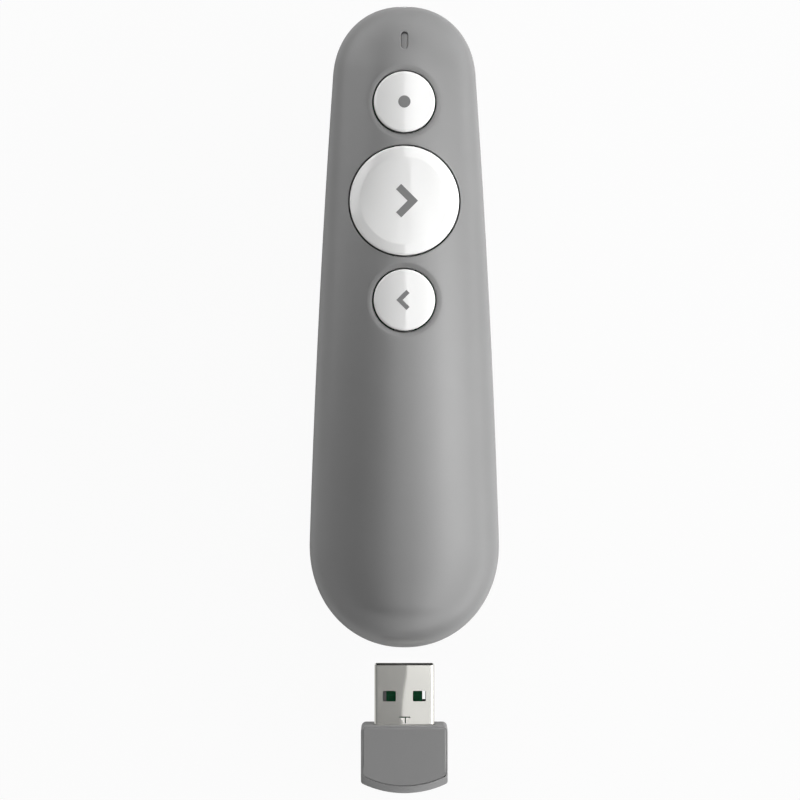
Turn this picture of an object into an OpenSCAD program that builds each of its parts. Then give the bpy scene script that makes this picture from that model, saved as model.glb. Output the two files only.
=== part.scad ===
// Wireless presentation clicker with a plug-in receiver that docks in its tail.
// +X is the right-hand side, +Y points to the nose and +Z is up. The origin lies on the
// table under the middle of the housing. Sizes are in millimetres.

/* [Housing] */
// Length of the housing from tail to nose
body_len = 127.6; // [124:0.2:138]
// Widest width of the housing, near its tail
body_w = 37.7; // [36:0.1:42]
// Width of the housing where the nose starts to round
nose_w = 28.4; // [27.4:0.1:33]
// How far the long sides bow outwards
side_bow = 0.45; // [0:0.05:0.9]
// Height of the housing over the battery
body_h = 20.4; // [20.2:0.1:24]
// Height of the housing where the nose starts to round
nose_h = 17.4; // [17:0.1:19.6]
// Height of the parting line above the table
part_z = 9.8; // [9.6:0.1:10.6]
// Distance from the nose tip back to the highest point of the back
crest_from_nose = 91.8; // [80:0.2:100]
// Length of the rounded tail, seen from above
tail_reach = 21.2; // [18:0.2:26]
// Length of the rounded nose, seen from above
nose_reach = 13.8; // [12.6:0.2:17]
// Length of the rounded tail, seen from the side
tail_round = 9; // [7.6:0.2:12]
// Length of the rounded nose, seen from the side
nose_round = 13; // [12:0.2:16]
// How far the flat of the underside is cut into the round belly
belly_cut = 1.4; // [1.1:0.1:2]
// How far the underside lifts off the table at the nose
nose_lift = 1.6; // [0.8:0.1:2.2]
// Thickness of the housing walls
wall = 1.6; // [1.3:0.1:1.8]
// Height of the lap joint between the two shells
lap_h = 0.7; // [0.4:0.1:1]
// Width of the groove that shows between the two shells
seam = 0.15; // [0.05:0.05:0.3]

/* [Buttons] */
// Diameter of the laser button and the back button
small_d = 12; // [10:0.1:12.2]
// Diameter of the next button
big_d = 21.5; // [18:0.1:22]
// Distance from one button centre to the next
button_pitch = 19.5; // [18.6:0.1:21]
// Distance from the nose tip to the centre of the laser button
laser_from_nose = 19.8; // [19:0.1:22]
// Gap between a button and its hole
button_gap = 0.3; // [0.2:0.05:0.5]
// Height of the buttons above the back of the housing
button_proud = 0.35; // [0.1:0.05:0.8]
// Travel of a button
button_travel = 0.5; // [0.2:0.05:0.6]
// Diameter of the dish in the next button
dish_d = 17.2; // [12:0.1:17.6]
// Depth of the dish in the next button
dish_depth = 0.6; // [0.2:0.05:0.9]
// Diameter of the hollow in the housing round a small button
hollow_d = 14.8; // [13.6:0.1:16]
// Depth of that hollow at the button
hollow_depth = 0.35; // [0.2:0.05:0.5]

/* [Status light] */
// Width of the light slot
slot_w = 1.4; // [1.2:0.1:2]
// Length of the light slot
slot_len = 3.5; // [2.6:0.1:4]
// Distance from the nose tip to the centre of the light slot
slot_from_nose = 7.5; // [7:0.1:8.4]

/* [Laser] */
// Diameter of the laser barrel
barrel_d = 5.8; // [5:0.1:5.9]
// Length of the laser barrel
barrel_len = 9; // [7:0.1:10]
// Diameter of the window opening in the nose
window_d = 2.6; // [2:0.1:3]

/* [Battery] */
// Diameter of the battery cell
cell_d = 10.5; // [10:0.1:10.5]
// Length of the battery cell with its terminal
cell_len = 44.5; // [42:0.1:46]
// Length of the bay taken by the compressed spring
spring_len = 4.2; // [3.4:0.1:6]
// Thickness of the battery door
door_t = 1.4; // [1.1:0.05:1.5]
// Width of the opening for the battery door
opening_w = 14.8; // [14:0.1:15.4]
// Gap between the battery door and its opening
door_gap = 0.2; // [0.1:0.05:0.3]

/* [Electronics] */
// Thickness of the main board
board_t = 1; // [0.6:0.1:1.2]
// Width of the main board
board_w = 19; // [16:0.2:19.4]
// Height of a switch body
switch_h = 1.2; // [1:0.1:1.3]
// Side of a switch body
switch_w = 4.6; // [4:0.1:5.4]

/* [Receiver] */
// Width of the plug
plug_w = 12; // [11:0.1:12.6]
// Thickness of the plug
plug_t = 4.5; // [4:0.1:4.8]
// Length of the plug outside the cap
plug_len = 12; // [11:0.1:13]
// Thickness of the plug's sheet metal
sheet = 0.3; // [0.2:0.05:0.4]
// Width of the receiver cap
cap_w = 17.3; // [16:0.1:18]
// Thickness of the receiver cap
cap_t = 8; // [7:0.1:8.4]
// Length of the receiver cap
cap_len = 13.5; // [12:0.1:15]
// Gap between the docked receiver and its pocket
dock_gap = 0.3; // [0.2:0.05:0.5]
// Gap between the housing and the plug of the receiver drawn out
drawn_gap = 3.7; // [1:0.1:8]

/* [Hidden] */

$fn = 48;
EPS = 0.01;              // overshoot of a cut
TOUCH = 0.1;             // clearance between fixed neighbours

// Colours
BODY_GREY = [0.50, 0.50, 0.50];
BUTTON_WHITE = [0.94, 0.94, 0.94];
BLACK = [0.08, 0.08, 0.08];
STEEL = [0.76, 0.76, 0.74];
BRASS = [0.78, 0.62, 0.28];
GOLD = [0.86, 0.70, 0.30];
BOARD_GREEN = [0.02, 0.25, 0.14];
CLEAR = [0.80, 0.86, 0.90];

// Housing form
STATIONS = 44;           // steps along the housing
ARC_OUT = 20;            // steps round the outer skin of one shell
ARC_IN = 14;             // steps round the inner skin of one shell
SECTION_POWER = 2.3;     // squareness of the cross-section
TAIL_POWER = 2.05;       // squareness of the tail, seen from above
NOSE_POWER = 2.2;        // squareness of the nose, seen from above
SIDE_POWER = 2;          // squareness of both ends, seen from the side
nose_y = body_len / 2;
tail_y = -nose_y;
crest_y = nose_y - crest_from_nose;
tail_join = tail_y + tail_reach;
nose_join = nose_y - nose_reach;
lap_in = wall / 2;       // inset of the step of the lap joint

// Height and half width of the housing at y. inset moves the skin inwards by a wall.
function ease(d, reach, p) = d <= 0 ? 1 : pow(max(0, 1 - pow(min(1, d / reach), p)), 1 / p);
function ends(y, inset, tail, nose, p_tail, p_nose) =
    ease(tail_y + tail - y, tail - inset, p_tail) * ease(y - nose_y + nose, nose - inset, p_nose);
function side_line(y) =
    let (t = (y - tail_join) / (nose_join - tail_join))
    (1 - t) * body_w / 2 + t * nose_w / 2 + side_bow * 4 * t * (1 - t);
function past_crest(y) = (y - crest_y) / (nose_join - crest_y);
function crown_line(y) = body_h - part_z - (body_h - nose_h) * pow(past_crest(y), 2);
function belly_line(y) = part_z + belly_cut - (belly_cut + nose_lift) * pow(past_crest(y), 4);
function half_w(y, inset = 0) =
    (side_line(y) - inset) * ends(y, inset, tail_reach, nose_reach, TAIL_POWER, NOSE_POWER);
function side_fade(y, inset) = ends(y, inset, tail_round, nose_round, SIDE_POWER, SIDE_POWER);
function crown(y, inset = 0) = (crown_line(y) - inset) * side_fade(y, inset);
function belly(y, inset = 0) = (belly_line(y) - inset) * side_fade(y, inset);
function bulge(x, w) = pow(max(0, 1 - pow(min(1, abs(x) / w), SECTION_POWER)), 1 / SECTION_POWER);
function top_z(x, y, inset = 0) = part_z + crown(y, inset) * bulge(x, half_w(y, inset));
function station(i, inset) = -(nose_y - inset) * cos(180 * i / STATIONS);
function signed_pow(v, p) = sign(v) * pow(abs(v), p);

// One point of a skin: side is 1 above the parting line and -1 below it
function skin_point(side, y, a, inset) =
    let (h = side > 0 ? crown(y, inset) : belly(y, inset),
         z = part_z + side * h * signed_pow(sin(a), 2 / SECTION_POWER))
    [half_w(y, inset) * signed_pow(cos(a), 2 / SECTION_POWER), y, max(z, inset)];

// Heights of the parts inside
clear_run = 0.25;                            // running clearance of the cell over the door
cell_z = door_t + clear_run + cell_d / 2;
board_z = cell_z + cell_d / 2 + 0.65;        // underside of the main board
board_top = board_z + board_t;
plunger_up = button_travel + 0.1;            // height of a plunger above its switch
cap_floor = board_top + switch_h + plunger_up;

// Places along the housing
laser_y = nose_y - laser_from_nose;
next_y = laser_y - button_pitch;
back_y = next_y - button_pitch;
slot_y = nose_y - slot_from_nose;
frame_t = 1;                                 // wall of the inner frame
dock_stop = tail_y + cap_len;                // where the docked cap's shoulder stops
mouth_rise = 1;                              // height of the dock's mouth over the parting line
dock_z = part_z + mouth_rise - dock_gap - cap_t / 2;    // middle of the receiver
plug_room = 0.5;                             // room in front of the docked plug
dock_end = dock_stop + plug_len + plug_room + frame_t;
plate_t = 0.4;                               // thickness of the battery contacts
bay_len = spring_len + cell_len + 2 * plate_t + 0.5;
bay_y0 = dock_end;
bay_y1 = bay_y0 + bay_len;
cell_y = bay_y0 + plate_t + spring_len;      // negative end of the cell
board_y0 = back_y - 17;
board_y1 = nose_y - 9.8;

// Screws: [x, y] of the four posts, front pair first
screw_r = 0.9;
screw_head_r = 1.7;
screw_head_h = 1.2;
head_seat = 2.6;
front_post = [6, laser_y - 6.2];
rear_post = [opening_w / 2 + 2.8, bay_y0 + 6.8];
POSTS = [for (p = [front_post, rear_post], s = [-1, 1]) [s * p[0], p[1]]];
function on_board(p) = p[1] > board_y0;

// ---- general shapes ----

// Rectangle w by h with corners of radius r, about the origin
module soft_rect(w, h, r, steps = 5) {
    polygon([for (q = [0:3], k = [0:steps])
        let (a = 90 * q + 90 * k / steps, sx = (q == 0 || q == 3) ? 1 : -1, sy = q < 2 ? 1 : -1)
        [sx * (w / 2 - r) + r * cos(a), sy * (h / 2 - r) + r * sin(a)]]);
}

// Bar along Y from y0 to y1 with the section of its child
module along_y(y0, y1) {
    translate([0, y1, 0]) rotate([90, 0, 0]) linear_extrude(y1 - y0) children();
}

// Box given by its low and high corners
module box(lo, hi) {
    translate(lo) cube([hi[0] - lo[0], hi[1] - lo[1], hi[2] - lo[2]]);
}

// ---- housing ----

// One shell of the housing. rim lists [inset, z] from the outer edge to the inner one.
module half_shell(side, rim) {
    n_rim = len(rim) - 2;
    last = n_rim + 1;
    ring_len = ARC_OUT + ARC_IN + 2 + 2 * n_rim;
    function edge_point(s, i, k) =
        let (y = station(i, rim[k][0])) [s * half_w(y, rim[k][0]), y, rim[k][1]];
    function outer_point(i, j) =
        let (p = skin_point(side, station(i, 0), 180 * j / ARC_OUT, 0))
        (j == 0 || j == ARC_OUT) ? [p[0], p[1], rim[0][1]] : p;
    function inner_point(i, j) =
        let (p = skin_point(side, station(i, wall), 180 - 180 * j / ARC_IN, wall), z = rim[last][1])
        [p[0], p[1], (j == 0 || j == ARC_IN || side > 0) ? max(p[2], z) : p[2]];
    function ring(i) = [
        for (j = [0:ARC_OUT]) outer_point(i, j),
        if (n_rim > 0) for (k = [1:n_rim]) edge_point(-1, i, k),
        for (j = [0:ARC_IN]) inner_point(i, j),
        if (n_rim > 0) for (k = [n_rim:-1:1]) edge_point(1, i, k)];
    function tip_of(j) =
        j <= ARC_OUT ? 0
        : j <= ARC_OUT + n_rim ? j - ARC_OUT
        : j <= ARC_OUT + n_rim + ARC_IN + 1 ? last
        : ring_len - j;
    tips_at = (STATIONS - 1) * ring_len;
    points = concat(
        [for (i = [1:STATIONS - 1]) each ring(i)],
        [for (end = [-1, 1], k = [0:last]) [0, end * (nose_y - rim[k][0]), rim[k][1]]]);
    function next_in(j) = (j + 1) % ring_len;
    function cap_face(base, tips, j, flip) =
        let (a = tip_of(j), b = tip_of(next_in(j)),
             f = a == b ? [base + j, base + next_in(j), tips + a]
                        : [base + j, base + next_in(j), tips + b, tips + a])
        flip ? [for (k = [len(f) - 1:-1:0]) f[k]] : f;
    wall_faces = [for (i = [0:STATIONS - 3], j = [0:ring_len - 1])
        let (f = [i * ring_len + j, i * ring_len + next_in(j),
                  (i + 1) * ring_len + next_in(j), (i + 1) * ring_len + j])
        side > 0 ? f : [f[3], f[2], f[1], f[0]]];
    tail_faces = [for (j = [0:ring_len - 1]) cap_face(0, tips_at, j, side > 0)];
    nose_faces = [for (j = [0:ring_len - 1])
        cap_face((STATIONS - 2) * ring_len, tips_at + last + 1, j, side < 0)];
    polyhedron(points, concat(wall_faces, tail_faces, nose_faces), convexity = 8);
}

// Opening in the tail that the receiver passes through
dock_corner = 0.7;
module dock_mouth() {
    translate([0, 0, dock_z])
        along_y(tail_y - 2, dock_stop)
            soft_rect(cap_w + 2 * dock_gap, cap_t + 2 * dock_gap, dock_corner);
}

// Round opening for the laser in the nose
module nose_hole() {
    translate([0, nose_y - 5, part_z]) rotate([-90, 0, 0]) cylinder(r = window_d / 2, h = 8);
}

// Upright slot of width w about slot_y
module light_slot(w, l, z0, z1) {
    for (s = [-1, 1])
        translate([0, slot_y + s * (l - w) / 2, z0]) cylinder(r = w / 2, h = z1 - z0, $fn = 32);
    box([-w / 2, slot_y - (l - w) / 2, z0], [w / 2, slot_y + (l - w) / 2, z1]);
}

module top_shell() {
    color(BODY_GREY) difference() {
        union() {
            half_shell(1, [[0, part_z], [lap_in, part_z], [lap_in, part_z + lap_h],
                           [wall, part_z + lap_h]]);
            for (p = POSTS)
                let (z0 = on_board(p) ? board_top : board_z)
                translate([p[0], p[1], z0])
                    cylinder(r = 1.9, h = top_z(p[0], p[1], wall) + wall / 2 - z0);
        }
        for (p = POSTS)
            translate([p[0], p[1], board_z - EPS]) cylinder(r = screw_r + 0.05, h = 3.2);
        button_hole(laser_y, small_d);
        button_hole(next_y, big_d);
        button_hole(back_y, small_d);
        finger_hollow(laser_y);
        finger_hollow(back_y);
        light_slot(slot_w, slot_len, board_top, body_h + 1);
        dock_mouth();
        nose_hole();
    }
}

module button_hole(y, d) {
    translate([0, y, board_top]) cylinder(r = d / 2 + button_gap, h = body_h, $fn = 96);
}

// Shallow finger hollow round a small button: it follows the skin and falls to the button
module finger_hollow(y) {
    turns = 40;
    rim = hollow_d / 2;
    hole = small_d / 2 + button_gap;
    radii = [hole - 0.8, (hole + rim) / 2, rim + 1];
    function fall(q) = let (t = (rim - q) / (rim - hole)) hollow_depth * (t > 0 ? t * (1 + t) / 2 : t);
    function low(q, k) =
        let (a = 360 * k / turns, px = q * cos(a), py = y + q * sin(a))
        [px, py, top_z(px, py) - fall(q)];
    function high(k) = let (a = 360 * k / turns)
        [(rim + 1) * cos(a), y + (rim + 1) * sin(a), body_h + 2];
    function at(ring, k) = ring * turns + k % turns;
    points = concat([for (q = radii, k = [0:turns - 1]) low(q, k)], [for (k = [0:turns - 1]) high(k)],
        [[0, y, low(radii[0], 0)[2]]]);
    faces = concat(
        [for (k = [0:turns - 1]) [3 * turns + turns, at(0, k), at(0, k + 1)]],
        [for (i = [0:2], k = [0:turns - 1])
            [at(i, k), at(i + 1, k), at(i + 1, k + 1), at(i, k + 1)]],
        [[for (k = [turns - 1:-1:0]) at(3, k)]]);
    polyhedron(points, faces, convexity = 4);
}

module bottom_shell() {
    lap = part_z + lap_h - TOUCH;
    color(BODY_GREY) difference() {
        union() {
            half_shell(-1, [[0, part_z - seam], [lap_in + TOUCH, part_z - seam],
                            [lap_in + TOUCH, lap], [wall, lap]]);
            for (p = POSTS) {
                translate([p[0], p[1], wall]) cylinder(r = 3, h = head_seat + 1.6 - wall);
                translate([p[0], p[1], wall]) cylinder(r = 2.1, h = board_z - wall);
            }
        }
        for (p = POSTS) {
            translate([p[0], p[1], -1]) cylinder(r = screw_r + 0.15, h = board_z + 2);
            translate([p[0], p[1], -1]) cylinder(r = screw_head_r + 0.25, h = head_seat + 1);
        }
        box([-opening_w / 2, bay_y0, -1], [opening_w / 2, bay_y1, wall + 1]);
        translate([0, bay_y0, -1]) cylinder(r = notch_r, h = 1 + door_t * 0.6);
        dock_mouth();
        nose_hole();
    }
}

// ---- battery door ----

notch_r = 4;                 // half-round finger notch at the latch
tab_in = 3.6;                // inner edge of each tab
tab_w = 2.4;
tab_t = 1;
tab_reach = 1.6;             // how far a tab reaches under the floor

module battery_door() {
    half = opening_w / 2 - door_gap;
    tab_z = wall + TOUCH;
    color(BODY_GREY) difference() {
        union() {
            translate([0, (bay_y0 + bay_y1) / 2, 0]) linear_extrude(door_t)
                soft_rect(2 * half, bay_len - 2 * door_gap, 0.8);
            for (s = [-1, 1]) {
                box([s > 0 ? tab_in : -tab_in - tab_w, bay_y1 - 1.4, door_t - EPS],
                    [s > 0 ? tab_in + tab_w : -tab_in, bay_y1 - door_gap, tab_z + tab_t]);
                box([s > 0 ? tab_in : -tab_in - tab_w, bay_y1 - 0.5, tab_z],
                    [s > 0 ? tab_in + tab_w : -tab_in, bay_y1 + tab_reach, tab_z + tab_t]);
            }
            box([-2.5, bay_y0 - 0.6, 0.15], [2.5, bay_y0 + 1, door_t * 0.6 - 0.1]);
        }
        for (k = [0:3])
            box([-4, bay_y0 + 3.4 + 1.5 * k, -1], [4, bay_y0 + 4.1 + 1.5 * k, 0.3]);
    }
}

// ---- inner frame: battery bay and receiver dock ----

module inner_frame() {
    side_in = cell_d / 2 + 0.35;
    side_out = side_in + 1.2;
    pocket_w = cap_w + 2 * dock_gap;
    pocket_t = cap_t + 2 * dock_gap;
    slip_w = plug_w + 2 * dock_gap;
    slip_t = plug_t + 2 * dock_gap;
    mouth_y = tail_y + 7.4;
    rail_x = 6;
    color(BLACK) difference() {
        union() {
            // side walls and cross ribs of the bay
            for (s = [-1, 1])
                box([s > 0 ? side_in : -side_out, bay_y0 - EPS, door_t + 0.3],
                    [s > 0 ? side_out : -side_in, bay_y1 + EPS, board_z]);
            for (k = [0:2])
                let (y = bay_y0 + bay_len * (0.16 + 0.34 * k))
                box([-side_out, y - 1, board_z - 0.5], [side_out, y + 1, board_z]);
            // end walls, which stand on the floor of the housing
            box([-side_out, bay_y1, wall], [side_out, bay_y1 + frame_t, board_z]);
            box([-side_out, bay_y0 - frame_t, wall], [side_out, bay_y0, board_z]);
            // hood over the receiver's cap and sleeve round its plug
            box([-pocket_w / 2 - frame_t, mouth_y, dock_z - pocket_t / 4],
                [pocket_w / 2 + frame_t, dock_stop + frame_t, dock_z + pocket_t / 2 + frame_t]);
            translate([0, 0, dock_z]) along_y(dock_stop, bay_y0 - EPS)
                square([slip_w + 2 * frame_t, slip_t + 2 * frame_t], center = true);
            // rails that the cap slides on, and the feet behind them
            for (s = [-1, 1]) {
                box([s * rail_x - 1, tail_y + tail_round + 0.6, wall],
                    [s * rail_x + 1, dock_stop + EPS, dock_z - pocket_t / 2]);
                box([s * rail_x - 1, dock_stop, wall],
                    [s * rail_x + 1, dock_stop + frame_t, dock_z]);
            }
        }
        translate([0, 0, dock_z]) {
            along_y(mouth_y - 1, dock_stop) soft_rect(pocket_w, pocket_t, dock_corner);
            along_y(dock_stop - 1, bay_y0 - frame_t) square([slip_w, slip_t], center = true);
        }
        // slots for the door's tabs
        for (s = [-1, 1])
            box([s * (tab_in + tab_w / 2) - tab_w / 2 - 0.3, bay_y1 - 4, -1],
                [s * (tab_in + tab_w / 2) + tab_w / 2 + 0.3, bay_y1 + frame_t + 1,
                 wall + tab_t + 1.2]);
    }
}

// ---- buttons ----

// Cap of diameter d at y whose top follows the back of the housing
module button_cap(y, d, dish_r = 0, dish = 0) {
    edge = 0.3;
    turns = d > 16 ? 64 : 40;
    r = d / 2;
    radii = dish_r > 0
        ? concat([for (k = [1:5]) dish_r * k / 5], [r - edge, r])
        : [r * 0.35, r * 0.7, r - edge, r];
    sink = function (q) q >= dish_r ? 0 : dish * (1 - pow(q / dish_r, 2));
    top = function (q, a)
        let (px = q * cos(a), py = y + q * sin(a))
        [px, py, top_z(px, py) + button_proud - sink(q) - (q == r ? edge : 0)];
    n = len(radii);
    points = concat(
        [[0, y, top_z(0, y) + button_proud - sink(0)]],
        [for (q = radii, k = [0:turns - 1]) top(q, 360 * k / turns)],
        [for (k = [0:turns - 1])
            [r * cos(360 * k / turns), y + r * sin(360 * k / turns), cap_floor]]);
    function at(ring, k) = 1 + ring * turns + k % turns;
    faces = concat(
        [for (k = [0:turns - 1]) [0, at(0, k + 1), at(0, k)]],
        [for (i = [0:n - 1], k = [0:turns - 1])
            [at(i, k), at(i, k + 1), at(i + 1, k + 1), at(i + 1, k)]],
        [[for (k = [0:turns - 1]) at(n, k)]]);
    polyhedron(points, faces, convexity = 4);
}

// Two lugs under a cap, fore and aft, that keep it in its hole
module button_lugs(y, d) {
    for (s = [0, 1]) translate([0, y, 0]) mirror([0, s, 0]) {
        box([-2, d / 2 - 1.4, cap_floor - 1.1], [2, d / 2 - 0.2, cap_floor + 0.2]);
        box([-2, d / 2 - 1.4, cap_floor - 1.1], [2, d / 2 + 0.9, cap_floor - 0.5]);
    }
}

module laser_button() {
    color(BUTTON_WHITE) union() {
        button_cap(laser_y, small_d);
        button_lugs(laser_y, small_d);
    }
}

module next_button() {
    color(BUTTON_WHITE) union() {
        button_cap(next_y, big_d, dish_d / 2, dish_depth);
        button_lugs(next_y, big_d);
    }
}

module back_button() {
    color(BUTTON_WHITE) union() {
        button_cap(back_y, small_d);
        button_lugs(back_y, small_d);
    }
}

// ---- switches ----

plunger_r = 1.1;
module plunger(y) {
    color(BLACK) translate([0, y, cap_floor - plunger_up - 0.3])
        cylinder(r = plunger_r, h = plunger_up + 0.3);
}

module tact_switch(y) {
    color(STEEL) difference() {
        translate([-switch_w / 2, y - switch_w / 2, board_top]) cube([switch_w, switch_w, switch_h]);
        translate([0, y, board_top + 0.1]) cylinder(r = plunger_r + 0.1, h = switch_h);
    }
}

module laser_plunger() { plunger(laser_y); }
module next_plunger() { plunger(next_y); }
module back_plunger() { plunger(back_y); }
module laser_switch() { tact_switch(laser_y); }
module next_switch() { tact_switch(next_y); }
module back_switch() { tact_switch(back_y); }

// ---- main board and what it carries ----

led_y = slot_y - slot_len / 2 - 2.2;

module main_board() {
    nose_half = 5;
    shoulder = board_y1 - 6;
    color(BOARD_GREEN) difference() {
        translate([0, 0, board_z]) linear_extrude(board_t) polygon([
            [-board_w / 2, board_y0], [board_w / 2, board_y0], [board_w / 2, shoulder],
            [nose_half, board_y1], [-nose_half, board_y1], [-board_w / 2, shoulder]]);
        for (p = POSTS)
            if (on_board(p))
                translate([p[0], p[1], board_z - 1]) cylinder(r = screw_r + 0.3, h = board_t + 2);
    }
}

module chip(x, y, w, l, h) {
    translate([x - w / 2, y - l / 2, board_top]) cube([w, l, h]);
}

chip_side = board_w * 0.26;      // side of the radio chip
chip_x = board_w * 0.285;        // middle of the radio chip, and of the crystal across from it
antenna_len = board_w * 0.37;
passive_w = board_w * 0.053;
passive_len = 1.8 * passive_w;
passive_pitch = 3 * passive_w;

module radio_chip() { color(BLACK) chip(-chip_x, (next_y + back_y) / 2, chip_side, chip_side, 0.9); }
module crystal() {
    color(STEEL) chip(chip_x, (next_y + back_y) / 2, chip_side * 0.64, chip_side / 2, 0.8);
}
module chip_antenna() { color(CLEAR) chip(0, board_y0 + 2, antenna_len, antenna_len * 0.29, 0.9); }
module passives() {
    color(BLACK) for (s = [-1, 1], k = [-1.5:1:1.5])
        chip(s * board_w * 0.39, back_y + k * passive_pitch, passive_w, passive_len, 0.5);
}
module status_led() { color(CLEAR) chip(0, led_y, 1.2, 1.6, 0.5); }

module light_pipe() {
    foot = board_top + 0.6;
    w = slot_w - 0.2;
    l = slot_len - 0.2;
    front = slot_y + l / 2;
    rear = slot_y - l / 2;
    color(CLEAR) intersection() {
        union() {
            light_slot(w, l, foot, body_h);
            box([-w / 2, led_y - 1, foot], [w / 2, slot_y, foot + 0.4]);
        }
        rotate([90, 0, 90]) translate([0, 0, -2]) linear_extrude(4) polygon([
            [led_y - 1, foot], [front + 1, foot], [front + 1, top_z(0, front + 1) - 0.6],
            [rear, top_z(0, rear) - 0.6], [rear, foot + 0.4], [led_y - 1, foot + 0.4]]);
    }
}

// ---- laser ----

lens_y = nose_y - 4.4;       // front face of the lens
lens_t = 1.2;
barrel_y1 = lens_y - 0.4;
barrel_y0 = barrel_y1 - barrel_len;

module rod_y(r, y0, y1, z = part_z) {
    translate([0, y0, z]) rotate([-90, 0, 0]) cylinder(r = r, h = y1 - y0);
}

module laser_barrel() {
    color(BRASS) difference() {
        rod_y(barrel_d / 2, barrel_y0, barrel_y1);
        rod_y(1.4, barrel_y0 - 1, barrel_y1 + 1);
        rod_y(2.1, barrel_y1 - lens_t + 0.4, barrel_y1 + 1);
        rod_y(1.75, barrel_y0 - 1, barrel_y0 + 2.5);
    }
}

module laser_lens() {
    color(CLEAR) intersection() {
        rod_y(2.05, lens_y - lens_t, lens_y);
        translate([0, lens_y - 6, part_z]) sphere(r = 6);
    }
}

module laser_diode() {
    color(GOLD) union() {
        rod_y(1.7, barrel_y0 + 0.3, barrel_y0 + 1.5);
        rod_y(1.2, barrel_y0 + 1.5 - EPS, barrel_y0 + 2.4);
    }
}

module laser_leads() {
    color(STEEL) for (s = [-1, 1]) {
        translate([s * 0.8, barrel_y0 - 1.2, part_z]) rotate([-90, 0, 0])
            cylinder(r = 0.2, h = 1.5, $fn = 16);
        translate([s * 0.8, barrel_y0 - 1.2, part_z]) sphere(r = 0.2, $fn = 16);
        translate([s * 0.8, barrel_y0 - 1.2, part_z]) cylinder(r = 0.2, h = board_z - part_z, $fn = 16);
    }
}

// The ring holds the flange of the window, whose boss fills the opening in the nose
flange_r = window_d / 2 + 0.4;
ring_y1 = nose_y - 3.6;

module window_bezel() {
    color(BLACK) difference() {
        rod_y(2.45, barrel_y1 + TOUCH / 2, ring_y1);
        rod_y(flange_r + TOUCH / 2, barrel_y1, nose_y);
        rod_y(2.15, barrel_y1, lens_y + TOUCH);
    }
}

module laser_window() {
    color(CLEAR) union() {
        rod_y(flange_r, lens_y + 0.3, ring_y1);
        rod_y(window_d / 2 - TOUCH / 2, ring_y1 - EPS, nose_y - 0.15);
    }
}

// ---- battery and contacts ----

nub_len = 0.8;
module battery_cell() {
    r = cell_d / 2;
    color([0.30, 0.32, 0.34]) translate([0, cell_y, cell_z]) rotate([-90, 0, 0])
        rotate_extrude($fn = 64) polygon([[0, 0], [r - 0.5, 0], [r - 0.5, 0.25], [r, 0.5],
            [r, cell_len - nub_len - 0.4], [r - 0.4, cell_len - nub_len], [0, cell_len - nub_len]]);
}

module battery_terminal() {
    color(STEEL) rod_y(1.9, cell_y + cell_len - nub_len, cell_y + cell_len, cell_z);
}

// Tapered coil of round wire that rises along +Z from z = 0
module coil(r0, r1, h, turns, wire) {
    per_turn = 16;
    sides = 6;
    steps = turns * per_turn;
    function centre(i) =
        let (u = i / steps, q = r0 + (r1 - r0) * u)
        [q * cos(360 * turns * u), q * sin(360 * turns * u), wire + (h - 2 * wire) * u];
    points = [for (i = [0:steps], k = [0:sides - 1])
        let (c = centre(i), a = 360 * turns * i / steps, b = 360 * k / sides)
        c + wire * [cos(a) * cos(b), sin(a) * cos(b), sin(b)]];
    faces = concat(
        [[for (k = [sides - 1:-1:0]) k]],
        [for (i = [0:steps - 1], k = [0:sides - 1])
            [i * sides + (k + 1) % sides, (i + 1) * sides + (k + 1) % sides,
             (i + 1) * sides + k, i * sides + k]],
        [[for (k = [0:sides - 1]) steps * sides + k]]);
    polyhedron(points, faces, convexity = 8);
}

plate_half = cell_d * 0.286;     // half width of the battery contacts
plate_low = cell_z - cell_d * 0.343;

module negative_spring() {
    color(STEEL) {
        box([-plate_half, bay_y0 + TOUCH / 2, plate_low], [plate_half, bay_y0 + plate_t, board_z + 0.3]);
        box([-1, bay_y0 + TOUCH / 2, board_z], [1, board_y0 - EPS, board_z + 0.3]);
        translate([0, bay_y0 + plate_t - EPS, cell_z]) rotate([-90, 0, 0])
            coil(plate_half - 0.1, plate_half * 0.57, spring_len - 0.1, 4, 0.3);
    }
}

module positive_contact() {
    y0 = bay_y1 - plate_t - TOUCH / 2;
    color(STEEL) union() {
        box([-plate_half, y0, plate_low], [plate_half, y0 + plate_t, board_z]);
        rod_y(1.6, y0 - 0.4, y0 + EPS, cell_z);
    }
}

// ---- case screws ----

module case_screws() {
    color(STEEL) for (p = POSTS)
        translate([p[0], p[1], head_seat - screw_head_h]) difference() {
            union() {
                cylinder(r = screw_head_r, h = screw_head_h);
                cylinder(r = screw_r, h = board_z + 2.8 - head_seat + screw_head_h);
            }
            for (a = [0, 90]) rotate([0, 0, a]) box([-1.1, -0.2, -1], [1.1, 0.2, 0.6]);
        }
}

// ---- receiver, drawn out of its dock ----

cap_y1 = tail_y - drawn_gap - plug_len;      // shoulder of the cap
cap_y0 = cap_y1 - cap_len;                   // curved end of the cap
plug_y1 = cap_y1 + plug_len;                 // mouth of the plug
plug_root = 3;                               // length of the plug inside the cap

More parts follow.
